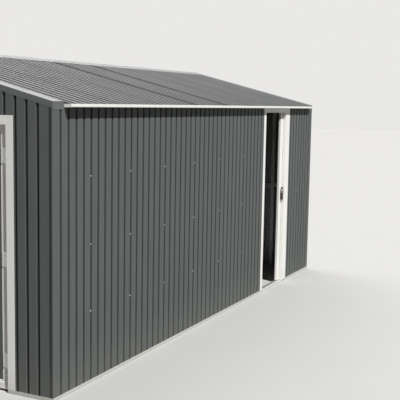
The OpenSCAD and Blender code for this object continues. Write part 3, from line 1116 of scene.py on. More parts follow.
@dataclass
class RibbedSheets:
    """Walls and roof slopes of lapped, slightly wavy panels of ribbed steel."""

    shell: Shell
    profile: RibProfile = WALL_RIBS
    roof_profile: RibProfile = ROOF_RIBS
    row_step: float = 0.16
    wave: float = 0.00035
    wave_scale: float = 2.6
    corner_fold: float = 0.026
    base_top: float = 0.0255
    ridge_gap: float = 0.002
    eave_inset: float = 0.001
    calm_edge: float = 0.05
    roof_gap: float = 0.0005
    edge_room: float = 0.004
    closure: Point = (0.0004, 0.0012)

    def build(self) -> list[Part]:
        """Builds every wall and both slopes.

        Returns:
            The pieces.
        """
        made = [self.long_wall("front_wall_left", Side.FRONT, -1)]
        made += [self.long_wall("front_wall_right", Side.FRONT, 1), self.long_wall("back_wall", Side.BACK, 0)]
        made += [self.gable("right_gable_wall", Side.RIGHT), self.gable("left_gable_sides", Side.LEFT),
                 self.gable("left_gable_top", Side.LEFT)]
        made += [self.slope("roof_sheet_front", False), self.slope("roof_sheet_back", True)]
        return made

    def laid(self, piece: Piece, path: Path, low: Rule, high: Rule, turn: Matrix) -> None:
        """Adds one panel to a piece.

        Args:
            piece: The piece.
            path: Face of the panel in cross-section.
            low: Where the panel starts at each point of the path.
            high: Where it ends.
            turn: Own frame of the wall: X along it, Y into it, Z up.
        """
        back = offset(path, self.profile.steel)
        tallest = max(high(point) - low(point) for point in path)
        count = max(1, round(tallest / self.row_step))
        rows: tuple[Grid, Grid, Grid] = ([], [], [])
        for r in range(count + 1):
            for row in rows:
                row.append([])
            for (along, depth), (back_along, back_depth) in zip(path, back):
                start, end = low((along, depth)), high((along, depth))
                up = start + (end - start) * r / count
                inward = min(abs(along - path[0][0]), abs(along - path[-1][0]))
                calm = min(1.0, inward / self.calm_edge)
                swell = noise.noise(Vector((along, up, turn.translation.y + turn.translation.x))
                                    * self.wave_scale)
                push = calm * self.wave * swell
                rows[0][-1].append(Vector((along, depth + push, up)))
                rows[1][-1].append(Vector((back_along, back_depth + push, up)))
                rows[2][-1].append(Vector((along, up, min(1.0, depth / self.profile.depth))))
        piece.sheet(rows[0], rows[1], (0, 1), turn, rows[2])

    def long_wall(self, node: str, side: Side, part: int) -> Part:
        """Builds a long wall, or the stretch of it on one side of the side door.

        Args:
            node: Node that it stands for.
            side: Side of the building.
            part: -1 for the stretch that ends at the door, 1 for the one that starts there, 0 for all.

        Returns:
            The piece.
        """
        low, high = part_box(node)
        piece = Piece(f"{node}_panels", Slot.WALL, (WALL_COAT, BACK_COAT))
        paths = self.profile.panels(low.x, high.x, self.corner_fold)
        if part == -1:
            paths[-1] = self.inside(paths[-1], high.x) + [(high.x, 0.0)]
        if part == 1:
            paths[0] = [(low.x, 0.0)] + self.inside(paths[0], low.x)

        def foot(point: Point) -> float:
            """Height of the panel's foot, which clears the gable's base strip where it is folded."""
            return self.base_top if abs(point[0]) > self.shell.half_length else low.z

        for path in paths:
            self.laid(piece, path, foot, lambda _: high.z, self.shell.wall(side))
        return piece.finish(node)

    def inside(self, path: Path, edge: float) -> list[Point]:
        """The points of a folded path that stay when the sheet ends at a plain edge in the doorway."""
        return [p for p in path
                if abs(p[0]) <= self.shell.half_length and abs(p[0] - edge) > self.edge_room]

    def gable(self, node: str, side: Side) -> Part:
        """Builds a gable sheet, cut off along the roof.

        Args:
            node: Node that it stands for.
            side: Side of the building.

        Returns:
            The piece.
        """
        low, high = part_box(node)
        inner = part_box("left_gable_top")[1].y
        spans = [(-high.y, -inner), (inner, high.y)] if node == "left_gable_sides" else [(-high.y, high.y)]
        piece = Piece(f"{node}_panels", Slot.WALL, (WALL_COAT, BACK_COAT))
        for start, end in spans:
            for path in self.profile.panels(start, end):
                self.laid(piece, path, lambda _: low.z, lambda p: self.shell.under_roof(p[0]) - self.roof_gap,
                          self.shell.wall(side))
        return piece.finish(node)

    def slope(self, node: str, back: bool) -> Part:
        """Builds the panels of one roof slope.

        Args:
            node: Node that it stands for.
            back: Whether it is the slope at the back.

        Returns:
            The piece.
        """
        shell = self.shell
        low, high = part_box(node)
        eave = -high.y if back else low.y
        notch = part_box("eave_trim_front")[1].x
        cos, sin = math.cos(shell.slope), math.sin(shell.slope)
        full = (-eave - shell.sheet_depth * sin - self.eave_inset) / cos
        turn = shell.roof_panel(back)

        def reach(point: Point) -> float:
            """Length of the slope at a point, shorter where the sheet stops at the wall."""
            short = (shell.half_width - (shell.sheet_depth - point[1]) * sin) / cos
            return full if abs(point[0]) <= notch else short

        piece = Piece(f"{node}_panels", Slot.ROOF, (ROOF_COAT, BACK_COAT))
        for path in self.roof_profile.panels(-shell.half_length, shell.half_length):
            for stop in (-notch, notch):
                path = self.notched(path, stop)
            self.laid(piece, path, lambda _: self.ridge_gap, reach, turn)
            self.closed_end(piece, path, reach, turn)
        return piece.finish(node)

    def closed_end(self, piece: Piece, path: Path, reach: Rule, turn: Matrix) -> None:
        """Adds the closure that fills the ribs at a panel's end.

        Args:
            piece: The piece.
            path: Face of the panel in cross-section.
            reach: Where the panel ends at each point of the path.
            turn: Own frame of the panel.
        """
        under = 1.5 * self.profile.steel
        rows = [[[Vector((along, limit or depth + under, reach((along, depth)) - inset))
                  for along, depth in path] for limit in (0.0, self.shell.sheet_depth)]
                for inset in self.closure]
        spots = [[Vector((along, 1.0, 0.0)) for along, _ in path] for _ in range(2)]
        piece.sheet(rows[0], rows[1], (0, 0), turn, spots)

    @staticmethod
    def notched(path: list[Point], stop: float) -> list[Point]:
        """A path with two points close to where the sheet's length steps.

        Args:
            path: The path.
            stop: Where the step is, on a flat of the sheet.

        Returns:
            The path, with the points if the step is on it.
        """
        for k, (before, after) in enumerate(zip(path, path[1:])):
            if before[0] < stop < after[0]:
                step = [(stop - HAIR, before[1]), (stop + HAIR, before[1])]
                return path[:k + 1] + step + path[k + 1:]
        return path


@dataclass
class RoofEdges:
    """Ridge cap, verge flashings and eave trims, folded from thin steel."""

    shell: Shell
    steel: float = 0.0006
    hem: float = 0.01
    cap_bend: float = 0.004
    cap_lap: float = 0.06
    lap_lift: float = 0.00025
    cap_rows: Point = (0.05, 0.115)
    cap_step: float = 1.05
    verge_width: float = 0.1115
    verge_drop: float = 0.029
    verge_bend: float = 0.0025
    verge_step: float = 0.5
    verge_inset: Point = (0.03, 0.015)
    rivet_room: float = 0.0008
    plate_drop: float = 0.015
    plate_steel: float = 0.0005
    plate_proud: float = 0.0015
    plate_inset: Point = (0.02, 0.025)
    trim_steel: float = 0.0008
    trim_bend: float = 0.0022
    trim_seat: float = 0.009
    joint_at: float = 0.35
    joint_gap: float = 0.0006
    sleeve_half: float = 0.05

    def build(self) -> list[Part]:
        """Builds the cap, both verges and both eave trims.

        Returns:
            The pieces.
        """
        made = [self.ridge_cap()]
        made += [self.verge(name, sign) for name, sign in (("verge_right", 1), ("verge_left", -1))]
        made += [self.eave_trim("eave_trim_front", 1), self.eave_trim("eave_trim_back", -1)]
        return made

    def flashing(self) -> Point:
        """Heights of a flashing's underside and of its face, square to the roof."""
        underside = self.shell.sheet_depth + HAIR
        return (underside, underside + 2 * self.steel)

    def square_to_roof(self, distance: float, height: float) -> Point:
        """Y and Z on the front slope, from a distance down it and a height square to it."""
        cos, sin = math.cos(self.shell.slope), math.sin(self.shell.slope)
        return (-distance * cos - height * sin, self.shell.ridge - distance * sin + height * cos)

    def ridge_cap(self) -> Part:
        """Builds the cap in two lengths that lap, with rivets at the lap.

        Returns:
            The piece.
        """
        low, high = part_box("ridge_cap")
        cos, sin = math.cos(self.shell.slope), math.sin(self.shell.slope)
        width = -low.y / cos
        bottom, top = self.flashing()
        piece = Piece("ridge_cap_folded", Slot.ROOF, (ROOF_TRIM,))
        for start, end, over in ((low.x, self.cap_lap, self.lap_lift), (0.0, high.x, 0.0)):
            left = [self.square_to_roof(width - self.hem, bottom + over),
                    self.square_to_roof(width, bottom + over), self.square_to_roof(width, top + over)]
            peak = (0.0, self.shell.ridge + (top + over) / cos)
            path = left + [peak] + [(-y, z) for y, z in reversed(left)]
            piece.folded(path, -self.steel, self.cap_bend, start, end, 0, lengthwise())
        for x in [self.cap_lap / 2, *spread(low.x, high.x, self.cap_step, 0.05)]:
            for sign in (1, -1):
                for down in self.cap_rows:
                    y, z = self.square_to_roof(down, top)
                    Rivet().add_to(piece, Vector((x, sign * y, z)), Vector((0.0, -sign * sin, cos)))
        return piece.finish("ridge_cap")

    def verge(self, node: str, sign: int) -> Part:
        """Builds the flashing along one gable's roof edge.

        Args:
            node: Node that it stands for.
            sign: 1 for the right gable, -1 for the left one.

        Returns:
            The piece.
        """
        shell = self.shell
        low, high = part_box(node)
        outer = (high.x if sign > 0 else -low.x) - self.rivet_room
        flat = outer - self.verge_width
        bottom, top = self.flashing()
        foot = -self.verge_drop
        back = outer - 2 * self.steel
        path = rounded([(flat + self.hem, bottom), (flat, bottom), (flat, top), (outer, top), (outer, foot),
                        (back, foot), (back, foot + self.hem)], self.verge_bend)
        layers = (path, offset(path, -self.steel))
        cos, sin = math.cos(shell.slope), math.sin(shell.slope)
        eave = shell.half_width

        def at(point: Point, y: float) -> Vector:
            """Place of a point of the cross-section on the slope, at a distance from the ridge."""
            return Vector((sign * point[0], y, shell.under_roof(y) + point[1] / cos))

        piece = Piece(f"{node}_folded", Slot.ROOF, (ROOF_TRIM,))
        piece.sheet(*[[[at(point, y) for point in layer] for y in (-eave, 0.0, eave)] for layer in layers])
        self.corner_plates(piece, sign, outer)
        for y in spread(0.0, eave, self.verge_step, 0.12):
            for way in (1, -1):
                spot = at((flat + self.verge_inset[0], top), way * y)
                Rivet().add_to(piece, spot, Vector((0.0, way * sin, cos)))
                side = at((outer, foot + self.verge_inset[1]), way * y)
                Rivet(height=0.0007).add_to(piece, side, Vector((sign, 0.0, 0.0)))
        return piece.finish(node)

    def corner_plates(self, piece: Piece, sign: int, outer: float) -> None:
        """Adds the plates that close the roof's corners where the eave trim stops short.

        Args:
            piece: The verge's piece.
            sign: 1 for the right gable, -1 for the left one.
            outer: Where the plates end, from the middle of the building.
        """
        shell = self.shell
        wall = shell.half_width
        foot = shell.wall_top - self.plate_drop
        top = shell.under_roof(wall) + self.flashing()[1] / math.cos(shell.slope)
        face = wall + self.plate_proud
        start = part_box("eave_trim_front")[1].x
        aside, up = self.plate_inset
        for way in (1, -1):
            path = [(wall + 3 * HAIR, foot + 0.006), (wall + 3 * HAIR, foot), (face, foot), (face, top),
                    (wall + 2 * HAIR, top)]
            piece.folded(path, self.plate_steel, 0.0008, start, outer, 0, lengthwise(sign, -way))
            for x in (start + aside, outer - aside):
                Rivet().add_to(piece, Vector((sign * x, -way * face, foot + up)), way * OUTWARD)

    def eave_trim(self, node: str, sign: int) -> Part:
        """Builds one eave trim: a folded channel in two lengths, with end caps and a joint sleeve.

        Args:
            node: Node that it stands for.
            sign: 1 for the front, -1 for the back.

        Returns:
            The piece.
        """
        low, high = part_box(node)
        outer = max(-low.y, high.y)
        top, foot, reach = high.z, low.z, high.x
        inner = self.shell.half_width - self.trim_seat
        lip = outer - 0.0013
        path = [(lip, top - 0.007), (lip, top), (outer, top), (outer, foot + 0.004),
                (outer - 0.0025, foot), (inner, foot), (inner, top - 0.004)]
        turn = lengthwise(across=-sign)
        piece = Piece(f"{node}_folded", Slot.TRIM, (CREAM,))
        joint = self.joint_at
        for start, end in ((-reach, joint - self.joint_gap), (joint + self.joint_gap, reach)):
            piece.folded(path, -self.trim_steel, self.trim_bend, start, end, 0, turn)
        under = foot + 0.0009
        face = outer - 0.0009
        sleeve = [(face, top - 0.002), (face, foot + 0.0045), (outer - 0.003, under),
                  (self.shell.half_width + 0.004, under)]
        half = self.sleeve_half
        piece.folded(sleeve, -self.trim_steel, 0.0015, joint - half, joint + half, 0, turn)
        turn = Matrix.Diagonal((1.0, -sign, 1.0, 1.0))
        for x in (-reach, reach):
            start, end = sorted((x, x - math.copysign(0.001, x)))
            piece.block((start, inner + 0.0005, foot + 0.001), (end, outer - 0.0012, top - 0.001), 0, turn)
        for x in (joint - half / 2, joint + half / 2):
            Rivet(0.0032, 0.0008).add_to(piece, Vector((x, -sign * face, (top + foot) / 2)), sign * OUTWARD)
        return piece.finish(node)


def solids(node: str) -> list[tuple[Vector, Vector]]:
    """Boxes round the separate solids of a node.

    Args:
        node: Name of the node.

    Returns:
        Lowest and highest corner of each solid.
    """
    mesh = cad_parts[node].data
    spots = [tuple(round(number, 5) for number in vertex.co) for vertex in mesh.vertices]
    leader = {spot: spot for spot in spots}

    def head(spot: Triple) -> Triple:
        """Finds the point that stands for a point's whole solid.

        Args:
            spot: The point.

        Returns:
            The point that stands for it.
        """
        while leader[spot] != spot:
            spot = leader[spot]
        return spot

    for polygon in mesh.polygons:
        first = head(spots[polygon.vertices[0]])
        for index in polygon.vertices[1:]:
            leader[head(spots[index])] = first
    groups: dict[Triple, list[Triple]] = {}
    for spot in leader:
        groups.setdefault(head(spot), []).append(spot)
    return [(Vector(map(min, *group)), Vector(map(max, *group))) for group in groups.values()]


@dataclass
class SteelFrame:
    """Posts and rails as lipped channels of bent steel, and the roof's members and base rails."""

    shell: Shell
    channels: tuple[str, ...] = ("corner_posts", "wall_posts", "gable_posts", "wall_rails", "top_rails")
    roof: tuple[str, ...] = ("rafters", "tie_beams", "purlins", "ridge_beam")
    foot: tuple[str, ...] = ("base_rail_front", "base_rail_back", "base_rails_gables")
    steel: float = 0.0012
    bend: float = 0.0025
    lip: float = 0.008
    edge: float = 0.0008
    foot_edge: float = 0.0004
    roof_gap: float = 0.001

    def build(self) -> list[Part]:
        """Builds the channels and dresses the rest.

        Returns:
            The pieces and the nodes.
        """
        made = [self.bent(node) for node in self.channels]
        return made + dress(self.roof, ZINC, self.edge) + dress(self.foot, FOOT_COAT, self.foot_edge)

    def side_of(self, low: Vector, high: Vector) -> Side:
        """Finds the wall that a member stands against.

        Args:
            low: Its lowest corner.
            high: Its highest corner.

        Returns:
            The wall's side.
        """
        middle = (low + high) / 2
        gaps = {Side.FRONT: self.shell.half_width + middle.y, Side.BACK: self.shell.half_width - middle.y,
                Side.RIGHT: self.shell.half_length - middle.x, Side.LEFT: self.shell.half_length + middle.x}
        return min(gaps, key=gaps.get)

    def head(self, place: float, top: float, side: Side) -> float | Rule:
        """Top of an upright member: level in a long wall, and under the roof in a gable.

        Args:
            place: Where the member starts along the wall.
            top: Its highest point.
            side: The wall's side.

        Returns:
            The height, or a rule for it.
        """
        if side in (Side.FRONT, Side.BACK):
            return top
        return lambda point: min(top, self.shell.under_roof(place + point[0]) - self.roof_gap)

    def bent(self, node: str) -> Part:
        """Builds a node's members as channels with their backs against the wall.

        Args:
            node: Name of the node.

        Returns:
            The piece.
        """
        piece = Piece(f"{node}_bent", Slot.STEEL, (ZINC,))
        for low, high in solids(node):
            side = self.side_of(low, high)
            wall = self.shell.wall(side)
            ends = [wall.inverted() @ corner for corner in (low, high)]
            start, stop = (Vector(map(pick, *ends)) for pick in (min, max))
            size = stop - start
            upright = size.z > size.x
            width = size.x if upright else size.z
            path = [(self.lip, size.y), (0.0, size.y), (0.0, 0.0), (width, 0.0), (width, size.y),
                    (width - self.lip, size.y)]
            if upright:
                turn = wall @ Matrix.Translation((start.x, start.y, 0.0))
                piece.folded(path, self.steel, self.bend, start.z, self.head(start.x, stop.z, side), 0, turn)
            else:
                turn = wall @ Matrix(((0, 0, 1, 0), (0, 1, 0, start.y), (1, 0, 0, start.z), (0, 0, 0, 1)))
                piece.folded(path, self.steel, self.bend, start.x, stop.x, 0, turn)
        return piece.finish(node)


@dataclass
class Fasteners:
    """Screws through the walls and the roof, in their grooves, and rivets along the base strips."""

    shell: Shell
    profile: RibProfile = WALL_RIBS
    roof_profile: RibProfile = ROOF_RIBS
    screw: HexScrew = HexScrew()
    lintel_screw: float = 0.03
    verge_screw: float = 0.052
    roof_rows: Point = (0.02, 0.04)
    mid_panel: int = 4
    verge_room: float = 0.14
    strip_rivet: Rivet = Rivet(0.0034, 0.001)
    strip_height: float = 0.015
    strip_face: float = 0.002
    strip_step: float = 0.55
    turns: random.Random = field(default_factory=lambda: random.Random(11))

    def build(self) -> list[Part]:
        """Builds the screws and the rivets.

        Returns:
            The pieces.
        """
        return [self.wall_screws(), self.roof_screws(), self.base_rivets()]

    def rail_heights(self) -> list[float]:
        """Finds the heights of the three wall rails.

        Returns:
            The heights of their middles, from the lowest up.
        """
        low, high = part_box("wall_rails")
        half = (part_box("top_rails")[1].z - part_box("top_rails")[0].z) / 2
        first, last = low.z + half, high.z - half
        return [first, (first + last) / 2, last]

    def drive(self, piece: Piece, along: float, up: float, turn: Matrix) -> None:
        """Puts one screw in a groove.

        Args:
            piece: The screws' piece.
            along: Place along the wall.
            up: Height, or distance down the slope.
            turn: Own frame of the wall.
        """
        spot = turn @ Vector((along, self.profile.depth, up))
        self.screw.add_to(piece, spot, turn.to_3x3() @ OUTWARD, self.turns.uniform(0.0, math.tau))

    def wall_screws(self) -> Part:
        """Builds the screws of all four walls.

        Returns:
            The piece.
        """
        shell, pitch = self.shell, self.profile.pitch
        piece = Piece("wall_screws", Slot.STEEL, (SCREW_ZINC, BLACK_RUBBER))
        rails = self.rail_heights()
        for node, side in (("front_wall_left", Side.FRONT), ("front_wall_right", Side.FRONT),
                           ("back_wall", Side.BACK)):
            low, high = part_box(node)
            for k in self.profile.laps(low.x, high.x):
                for z in rails:
                    self.drive(piece, k * pitch, z, shell.wall(side))
        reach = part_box("right_gable_wall")[1].y
        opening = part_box("left_gable_top")
        for side in (Side.RIGHT, Side.LEFT):
            for k in self.profile.laps(-reach, reach):
                along = k * pitch
                closed = side is Side.RIGHT or abs(along) > opening[1].y
                middle = rails[1] if closed else opening[0].z + self.lintel_screw
                for z in (middle, shell.under_roof(along) - self.verge_screw):
                    self.drive(piece, along, z, shell.wall(side))
        return piece.finish()

    def roof_screws(self) -> Part:
        """Builds the screws of both slopes, in two rows over the purlins.

        Returns:
            The piece.
        """
        shell = self.shell
        length = (shell.half_width - shell.sheet_depth) / math.cos(shell.slope)
        piece = Piece("roof_screws", Slot.STEEL, (SCREW_ZINC, BLACK_RUBBER))
        rows = (length / 2 + self.roof_rows[0], length - self.roof_rows[1])
        for back in (False, True):
            for k in self.roof_profile.laps(-shell.half_length, shell.half_length):
                for along in (k * self.profile.pitch, (k + self.mid_panel) * self.profile.pitch):
                    if abs(along) < shell.half_length - self.verge_room:
                        for down in rows:
                            self.drive(piece, along, down, shell.roof_panel(back))
        return piece.finish()

    def base_rivets(self) -> Part:
        """Builds the rivets along the base strips.

        Returns:
            The piece.
        """
        shell = self.shell
        piece = Piece("base_rivets", Slot.BASE, (SCREW_ZINC,))
        doorway = [corner.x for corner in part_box("door_sill")]
        for side, start, end in ((Side.FRONT, -shell.half_length, doorway[0]),
                                 (Side.FRONT, doorway[1], shell.half_length),
                                 (Side.BACK, -shell.half_length, shell.half_length)):
            turn = shell.wall(side)
            for along in spread(start, end, self.strip_step, 0.06):
                spot = turn @ Vector((along, -self.strip_face, self.strip_height))
                self.strip_rivet.add_to(piece, spot, turn.to_3x3() @ OUTWARD)
        return piece.finish()


@dataclass
class SideDoorway:
    """Jambs, header, sill and tracks of the side door."""

    shell: Shell
    steel: float = 0.0009
    proud: float = 0.002
    step: float = 0.0009
    slant: float = 0.001
    lining: float = 0.0262
    bend: float = 0.0014
    rim: float = 0.006
    band: float = 0.024
    post: float = 0.028
    strip_top: float = 0.025
    jamb_rivets: Triple = (0.016, 0.45, 0.05)
    header_band: Point = (0.0075, 0.012)
    header_bend: float = 0.0012
    soffit_lip: float = 0.01
    header_rivets: Triple = (0.032, 0.3, 0.04)
    tread: float = 0.022
    tread_rib: float = 0.0042
    rib_height: float = 0.001
    nose: float = 0.014
    nose_back: float = 0.0022

    def build(self) -> list[Part]:
        """Builds the cream trims and the sill, and dresses the tracks.

        Returns:
            The pieces and the nodes.
        """
        made = [self.jamb("left_jamb", -1), self.jamb("right_jamb", 1), self.header(), self.sill()]
        made += dress(("floor_track",), ALUMINIUM, 0.0008)
        made += dress(("head_track",), ZINC, 0.0006)
        return made

    def jamb(self, node: str, sign: int) -> Part:
        """Builds a jamb: a stepped face on the sheet, and a lining in the doorway.

        Args:
            node: Node that it stands for.
            sign: 1 for the jamb at the right of the doorway, -1 for the one at its left.

        Returns:
            The piece.
        """
        low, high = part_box(node)
        width = high.x - low.x
        edge = low.x if sign > 0 else high.x
        post_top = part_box("corner_posts")[1].z
        sunk = self.step - self.proud
        path = [(width, -HAIR), (width, -self.proud), (width - self.rim, -self.proud),
                (width - self.rim - self.slant, sunk), (self.band, sunk),
                (self.band - self.slant, -self.proud), (0.0, -self.proud), (0.0, self.lining),
                (self.post, self.lining), (self.post, self.shell.sheet_depth + 0.001)]

        def foot(point: Point) -> float:
            """The face stands on the base strip and the lining on the foot plate."""
            return self.strip_top if point[1] < 0.0 else low.z

        def head(point: Point) -> float:
            """The face runs up to the eave trim and the lining to the top rail."""
            return high.z if point[1] < 0.0 else post_top

        turn = Matrix(((sign, 0, 0, edge), (0, 1, 0, -self.shell.half_width), (0, 0, 1, 0), (0, 0, 0, 1)))
        piece = Piece(f"{node}_folded", Slot.TRIM, (CREAM,))
        piece.folded(path, -self.steel, self.bend, foot, head, 0, turn)
        inset, step, margin = self.jamb_rivets
        for z in spread(self.strip_top, high.z - 0.04, step, margin):
            Rivet().add_to(piece, turn @ Vector((width - inset, sunk, z)), OUTWARD)
        return piece.finish(node)

    def header(self) -> Part:
        """Builds the trim over the doorway, with its soffit.

        Returns:
            The piece.
        """
        low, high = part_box("door_header")
        foot, top = low.z, high.z - 0.001
        first, last = (foot + height for height in self.header_band)
        sunk = self.step - self.proud
        path = [(-HAIR, top), (-self.proud, top), (-self.proud, last), (sunk, last - self.slant),
                (sunk, first + self.slant), (-self.proud, first), (-self.proud, foot), (self.lining, foot),
                (self.lining, foot + self.soffit_lip)]
        piece = Piece("door_header_folded", Slot.TRIM, (CREAM,))
        face = -self.shell.half_width
        piece.folded(path, self.steel, self.header_bend, low.x, high.x, 0, lengthwise(place=face))
        up, step, margin = self.header_rivets
        for x in spread(low.x, high.x, step, margin):
            Rivet().add_to(piece, Vector((x, face - self.proud, foot + up)), OUTWARD)
        return piece.finish("door_header")

    def sill(self) -> Part:
        """Builds the drawn aluminium sill, with anti-slip ribs and a nose in a paler coat that paints its
        highlight.

        Returns:
            The piece.
        """
        low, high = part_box("door_sill")
        depth = high.y + self.shell.half_width
        under, shoulder = high.z - self.nose, high.z - 0.0012
        nose = [(-self.proud, under), (-self.proud, shoulder), (-0.001, high.z), (0.001, high.z),
                (0.002, shoulder), (self.nose_back, under)]
        top = self.tread
        valley = top - self.rib_height
        outline = [(-self.proud, 0.0), (-self.proud, under), (self.nose_back, under),
                   (self.nose_back, valley)]
        for k in range(int((depth - 0.004) / self.tread_rib)):
            start = 0.003 + k * self.tread_rib
            outline += [(start, valley), (start + 0.0006, top), (start + 0.002, top),
                        (start + 0.0026, valley)]
        outline += [(depth, valley), (depth, 0.0)]
        turn = lengthwise(place=-self.shell.half_width)
        piece = Piece("door_sill_drawn", Slot.TRACK, (ALUMINIUM, NOSE_HIGHLIGHT))
        piece.prism(outline, low.x, high.x, 0, turn)
        # The nose's paler coat is a painted highlight
        piece.prism(nose, low.x, high.x, 1, turn)
        return piece.finish("door_sill")


@dataclass
class SideDoorLeaf:
    """The sliding leaf: stiles, rails, ribbed panel, beads, handle, lock, catch, hangers and guides."""

    shell: Shell
    profile: RibProfile = WALL_RIBS
    bead: float = 0.008
    bead_proud: float = 0.0022
    bead_edge: float = 0.0012
    shelf: float = 0.072
    step: float = 0.0015
    stile_bend: float = 0.003
    panel_wave: float = 0.0002
    plate_cut: float = 0.004
    plate_screw: float = 0.0045
    lever_top: float = -0.0135
    lever_clear: float = 0.007
    lever_half: float = 0.0118
    lever_flare: float = 0.0014
    lever_root: float = 0.003
    lever_joined: float = 0.62
    rose_half: Point = (0.009, 0.016)
    rose_screw: float = 0.0137

    def build(self) -> list[Part]:
        """Builds the leaf, all of it on the door's own body.

        Returns:
            The pieces and the nodes.
        """
        made = [self.stile("leading_stile", 1), self.stile("trailing_stile", -1), self.panel(), self.beads()]
        made += dress(("leaf_rails",), CREAM, self.bead_edge)
        made += [self.pull(), self.lock(), self.catch()]
        made += dress(("leaf_hangers",), ZINC, 0.0006)
        made += dress(("leaf_guides",), BLACK_NYLON, 0.0006)
        return made

    def stile(self, node: str, sign: int) -> Part:
        """Builds a stile with rounded edges and a shallow step on each side.

        Args:
            node: Node that it stands for.
            sign: 1 for the stile at the leading edge, -1 for the other.

        Returns:
            The piece.
        """
        low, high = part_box(node)
        width, depth = high.x - low.x, high.y - low.y
        step, shelf = self.step, self.shelf
        corners = [(shelf, 0.0), (0.0, 0.0), (0.0, depth), (shelf, depth), (shelf + step, depth - step),
                   (width, depth - step), (width, step), (shelf + step, step), (shelf, 0.0)]
        outline = rounded(corners, self.stile_bend, 4)[:-1]
        edge = low.x if sign > 0 else high.x
        turn = Matrix(((sign, 0, 0, edge), (0, 1, 0, low.y), (0, 0, 1, 0), (0, 0, 0, 1)))
        piece = Piece(f"{node}_folded", Slot.TRIM, (CREAM,), Body.DOOR)
        piece.prism(outline, low.z, high.z, 0, turn)
        return piece.finish(node)

    def panel(self) -> Part:
        """Builds the ribbed panel between the stiles.

        Returns:
            The piece.
        """
        low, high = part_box("leaf_panel")
        sheets = RibbedSheets(self.shell, wave=self.panel_wave)
        piece = Piece("leaf_panel_ribbed", Slot.WALL, (WALL_COAT, WALL_COAT), Body.DOOR)
        turn = Matrix.Translation((0.0, low.y, 0.0))
        path = self.profile.plain_panel(low.x, high.x)
        sheets.laid(piece, path, lambda _: low.z, lambda _: high.z, turn)
        return piece.finish("leaf_panel")

    def beads(self) -> Part:
        """Builds the beads that hold the panel, on the outer face of the leaf.

        Returns:
            The piece.
        """
        low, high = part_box("leaf_panel")
        leaf_low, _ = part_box("leading_stile")
        piece = Piece("leaf_beads", Slot.TRIM, (CREAM,), Body.DOOR)
        face = leaf_low.y + self.bead_proud
        for start, end in ((low.x, low.x + self.bead), (high.x - self.bead, high.x)):
            piece.block((start, face, low.z), (end, low.y, high.z))
        for foot, top in ((low.z, low.z + self.bead), (high.z - self.bead, high.z)):
            piece.block((low.x + self.bead, face, foot), (high.x - self.bead, low.y, top))
        return piece.finish(bevel=self.bead_edge)

    def at_lock(self) -> Matrix:
        """Own frame of the fittings: X along the door, Y up, Z out of the door's face, at the lock.

        Returns:
            The matrix of that frame.
        """
        low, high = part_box("lock_cylinder")
        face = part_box("leading_stile")[0].y
        centre = Vector(((low.x + high.x) / 2, face, (low.z + high.z) / 2))
        return Matrix.Translation(centre) @ Matrix.Rotation(math.radians(90.0), 4, "X")

    def pull(self) -> Part:
        """Builds the handle: a rounded back plate with screws, and a pull that widens downwards.

        Returns:
            The piece.
        """
        low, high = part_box("pull_handle")
        at = self.at_lock()
        lock_z = at.translation.z
        half, top, foot = (high.x - low.x) / 2, high.z - lock_z, low.z - lock_z
        piece = Piece("pull_handle_moulded", Slot.HANDLE, (BROWN_PLASTIC, NICKEL), Body.DOOR)
        base = foot + self.plate_cut
        outline = upright_plate(half, base, top, 0.0, 0.007, 6)
        inner = [(0.93 * x, y + (0.0012 if y < 0 else -0.0012)) for x, y in outline]
        piece.loft([[Vector((*p, z)) for p in ring]
                    for ring, z in ((outline, 0.0), (outline, 0.0022), (inner, 0.0032))], 0, at)
        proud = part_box("leading_stile")[0].y - low.y
        piece.loft([self.lever_ring(k / 18, foot, proud) for k in range(19)], 0, at)
        for y in (base + self.plate_screw, top - self.plate_screw):
            piece.turned([(0.0026, 0.0028), (0.0026, 0.0036), (0.0018, 0.004)], 12, 1,
                         at @ Matrix.Translation((0.0, y, 0.0)))
        return piece.finish("pull_handle")

    def lever_ring(self, share: float, foot: float, proud: float) -> list[Vector]:
        """Makes one ring of the pull: thick where it joins the plate, and clear of it towards its foot.

        Args:
            share: How far down the pull the ring is, from 0 to 1.
            foot: Lowest point of the handle.
            proud: How far the pull stands out of the door.

        Returns:
            The ring's points.
        """
        height = self.lever_top + share * (foot + self.lever_clear - self.lever_top)
        end = min(1.0, 0.45 + 7 * share, 0.45 + 7 * (1 - share))
        width = (self.lever_half + self.lever_flare * share) * end ** 0.5
        apart = max(0.0, (share - self.lever_joined) / (1 - self.lever_joined))
        root = self.lever_root + 0.48 * (proud - self.lever_root) * apart ** 0.8
        middle, depth = (proud + root) / 2, (proud - root) / 2 * end ** 0.3
        return [Vector((width * fuller(math.cos(a)), height, middle + depth * fuller(math.sin(a))))
                for a in angles(20)]

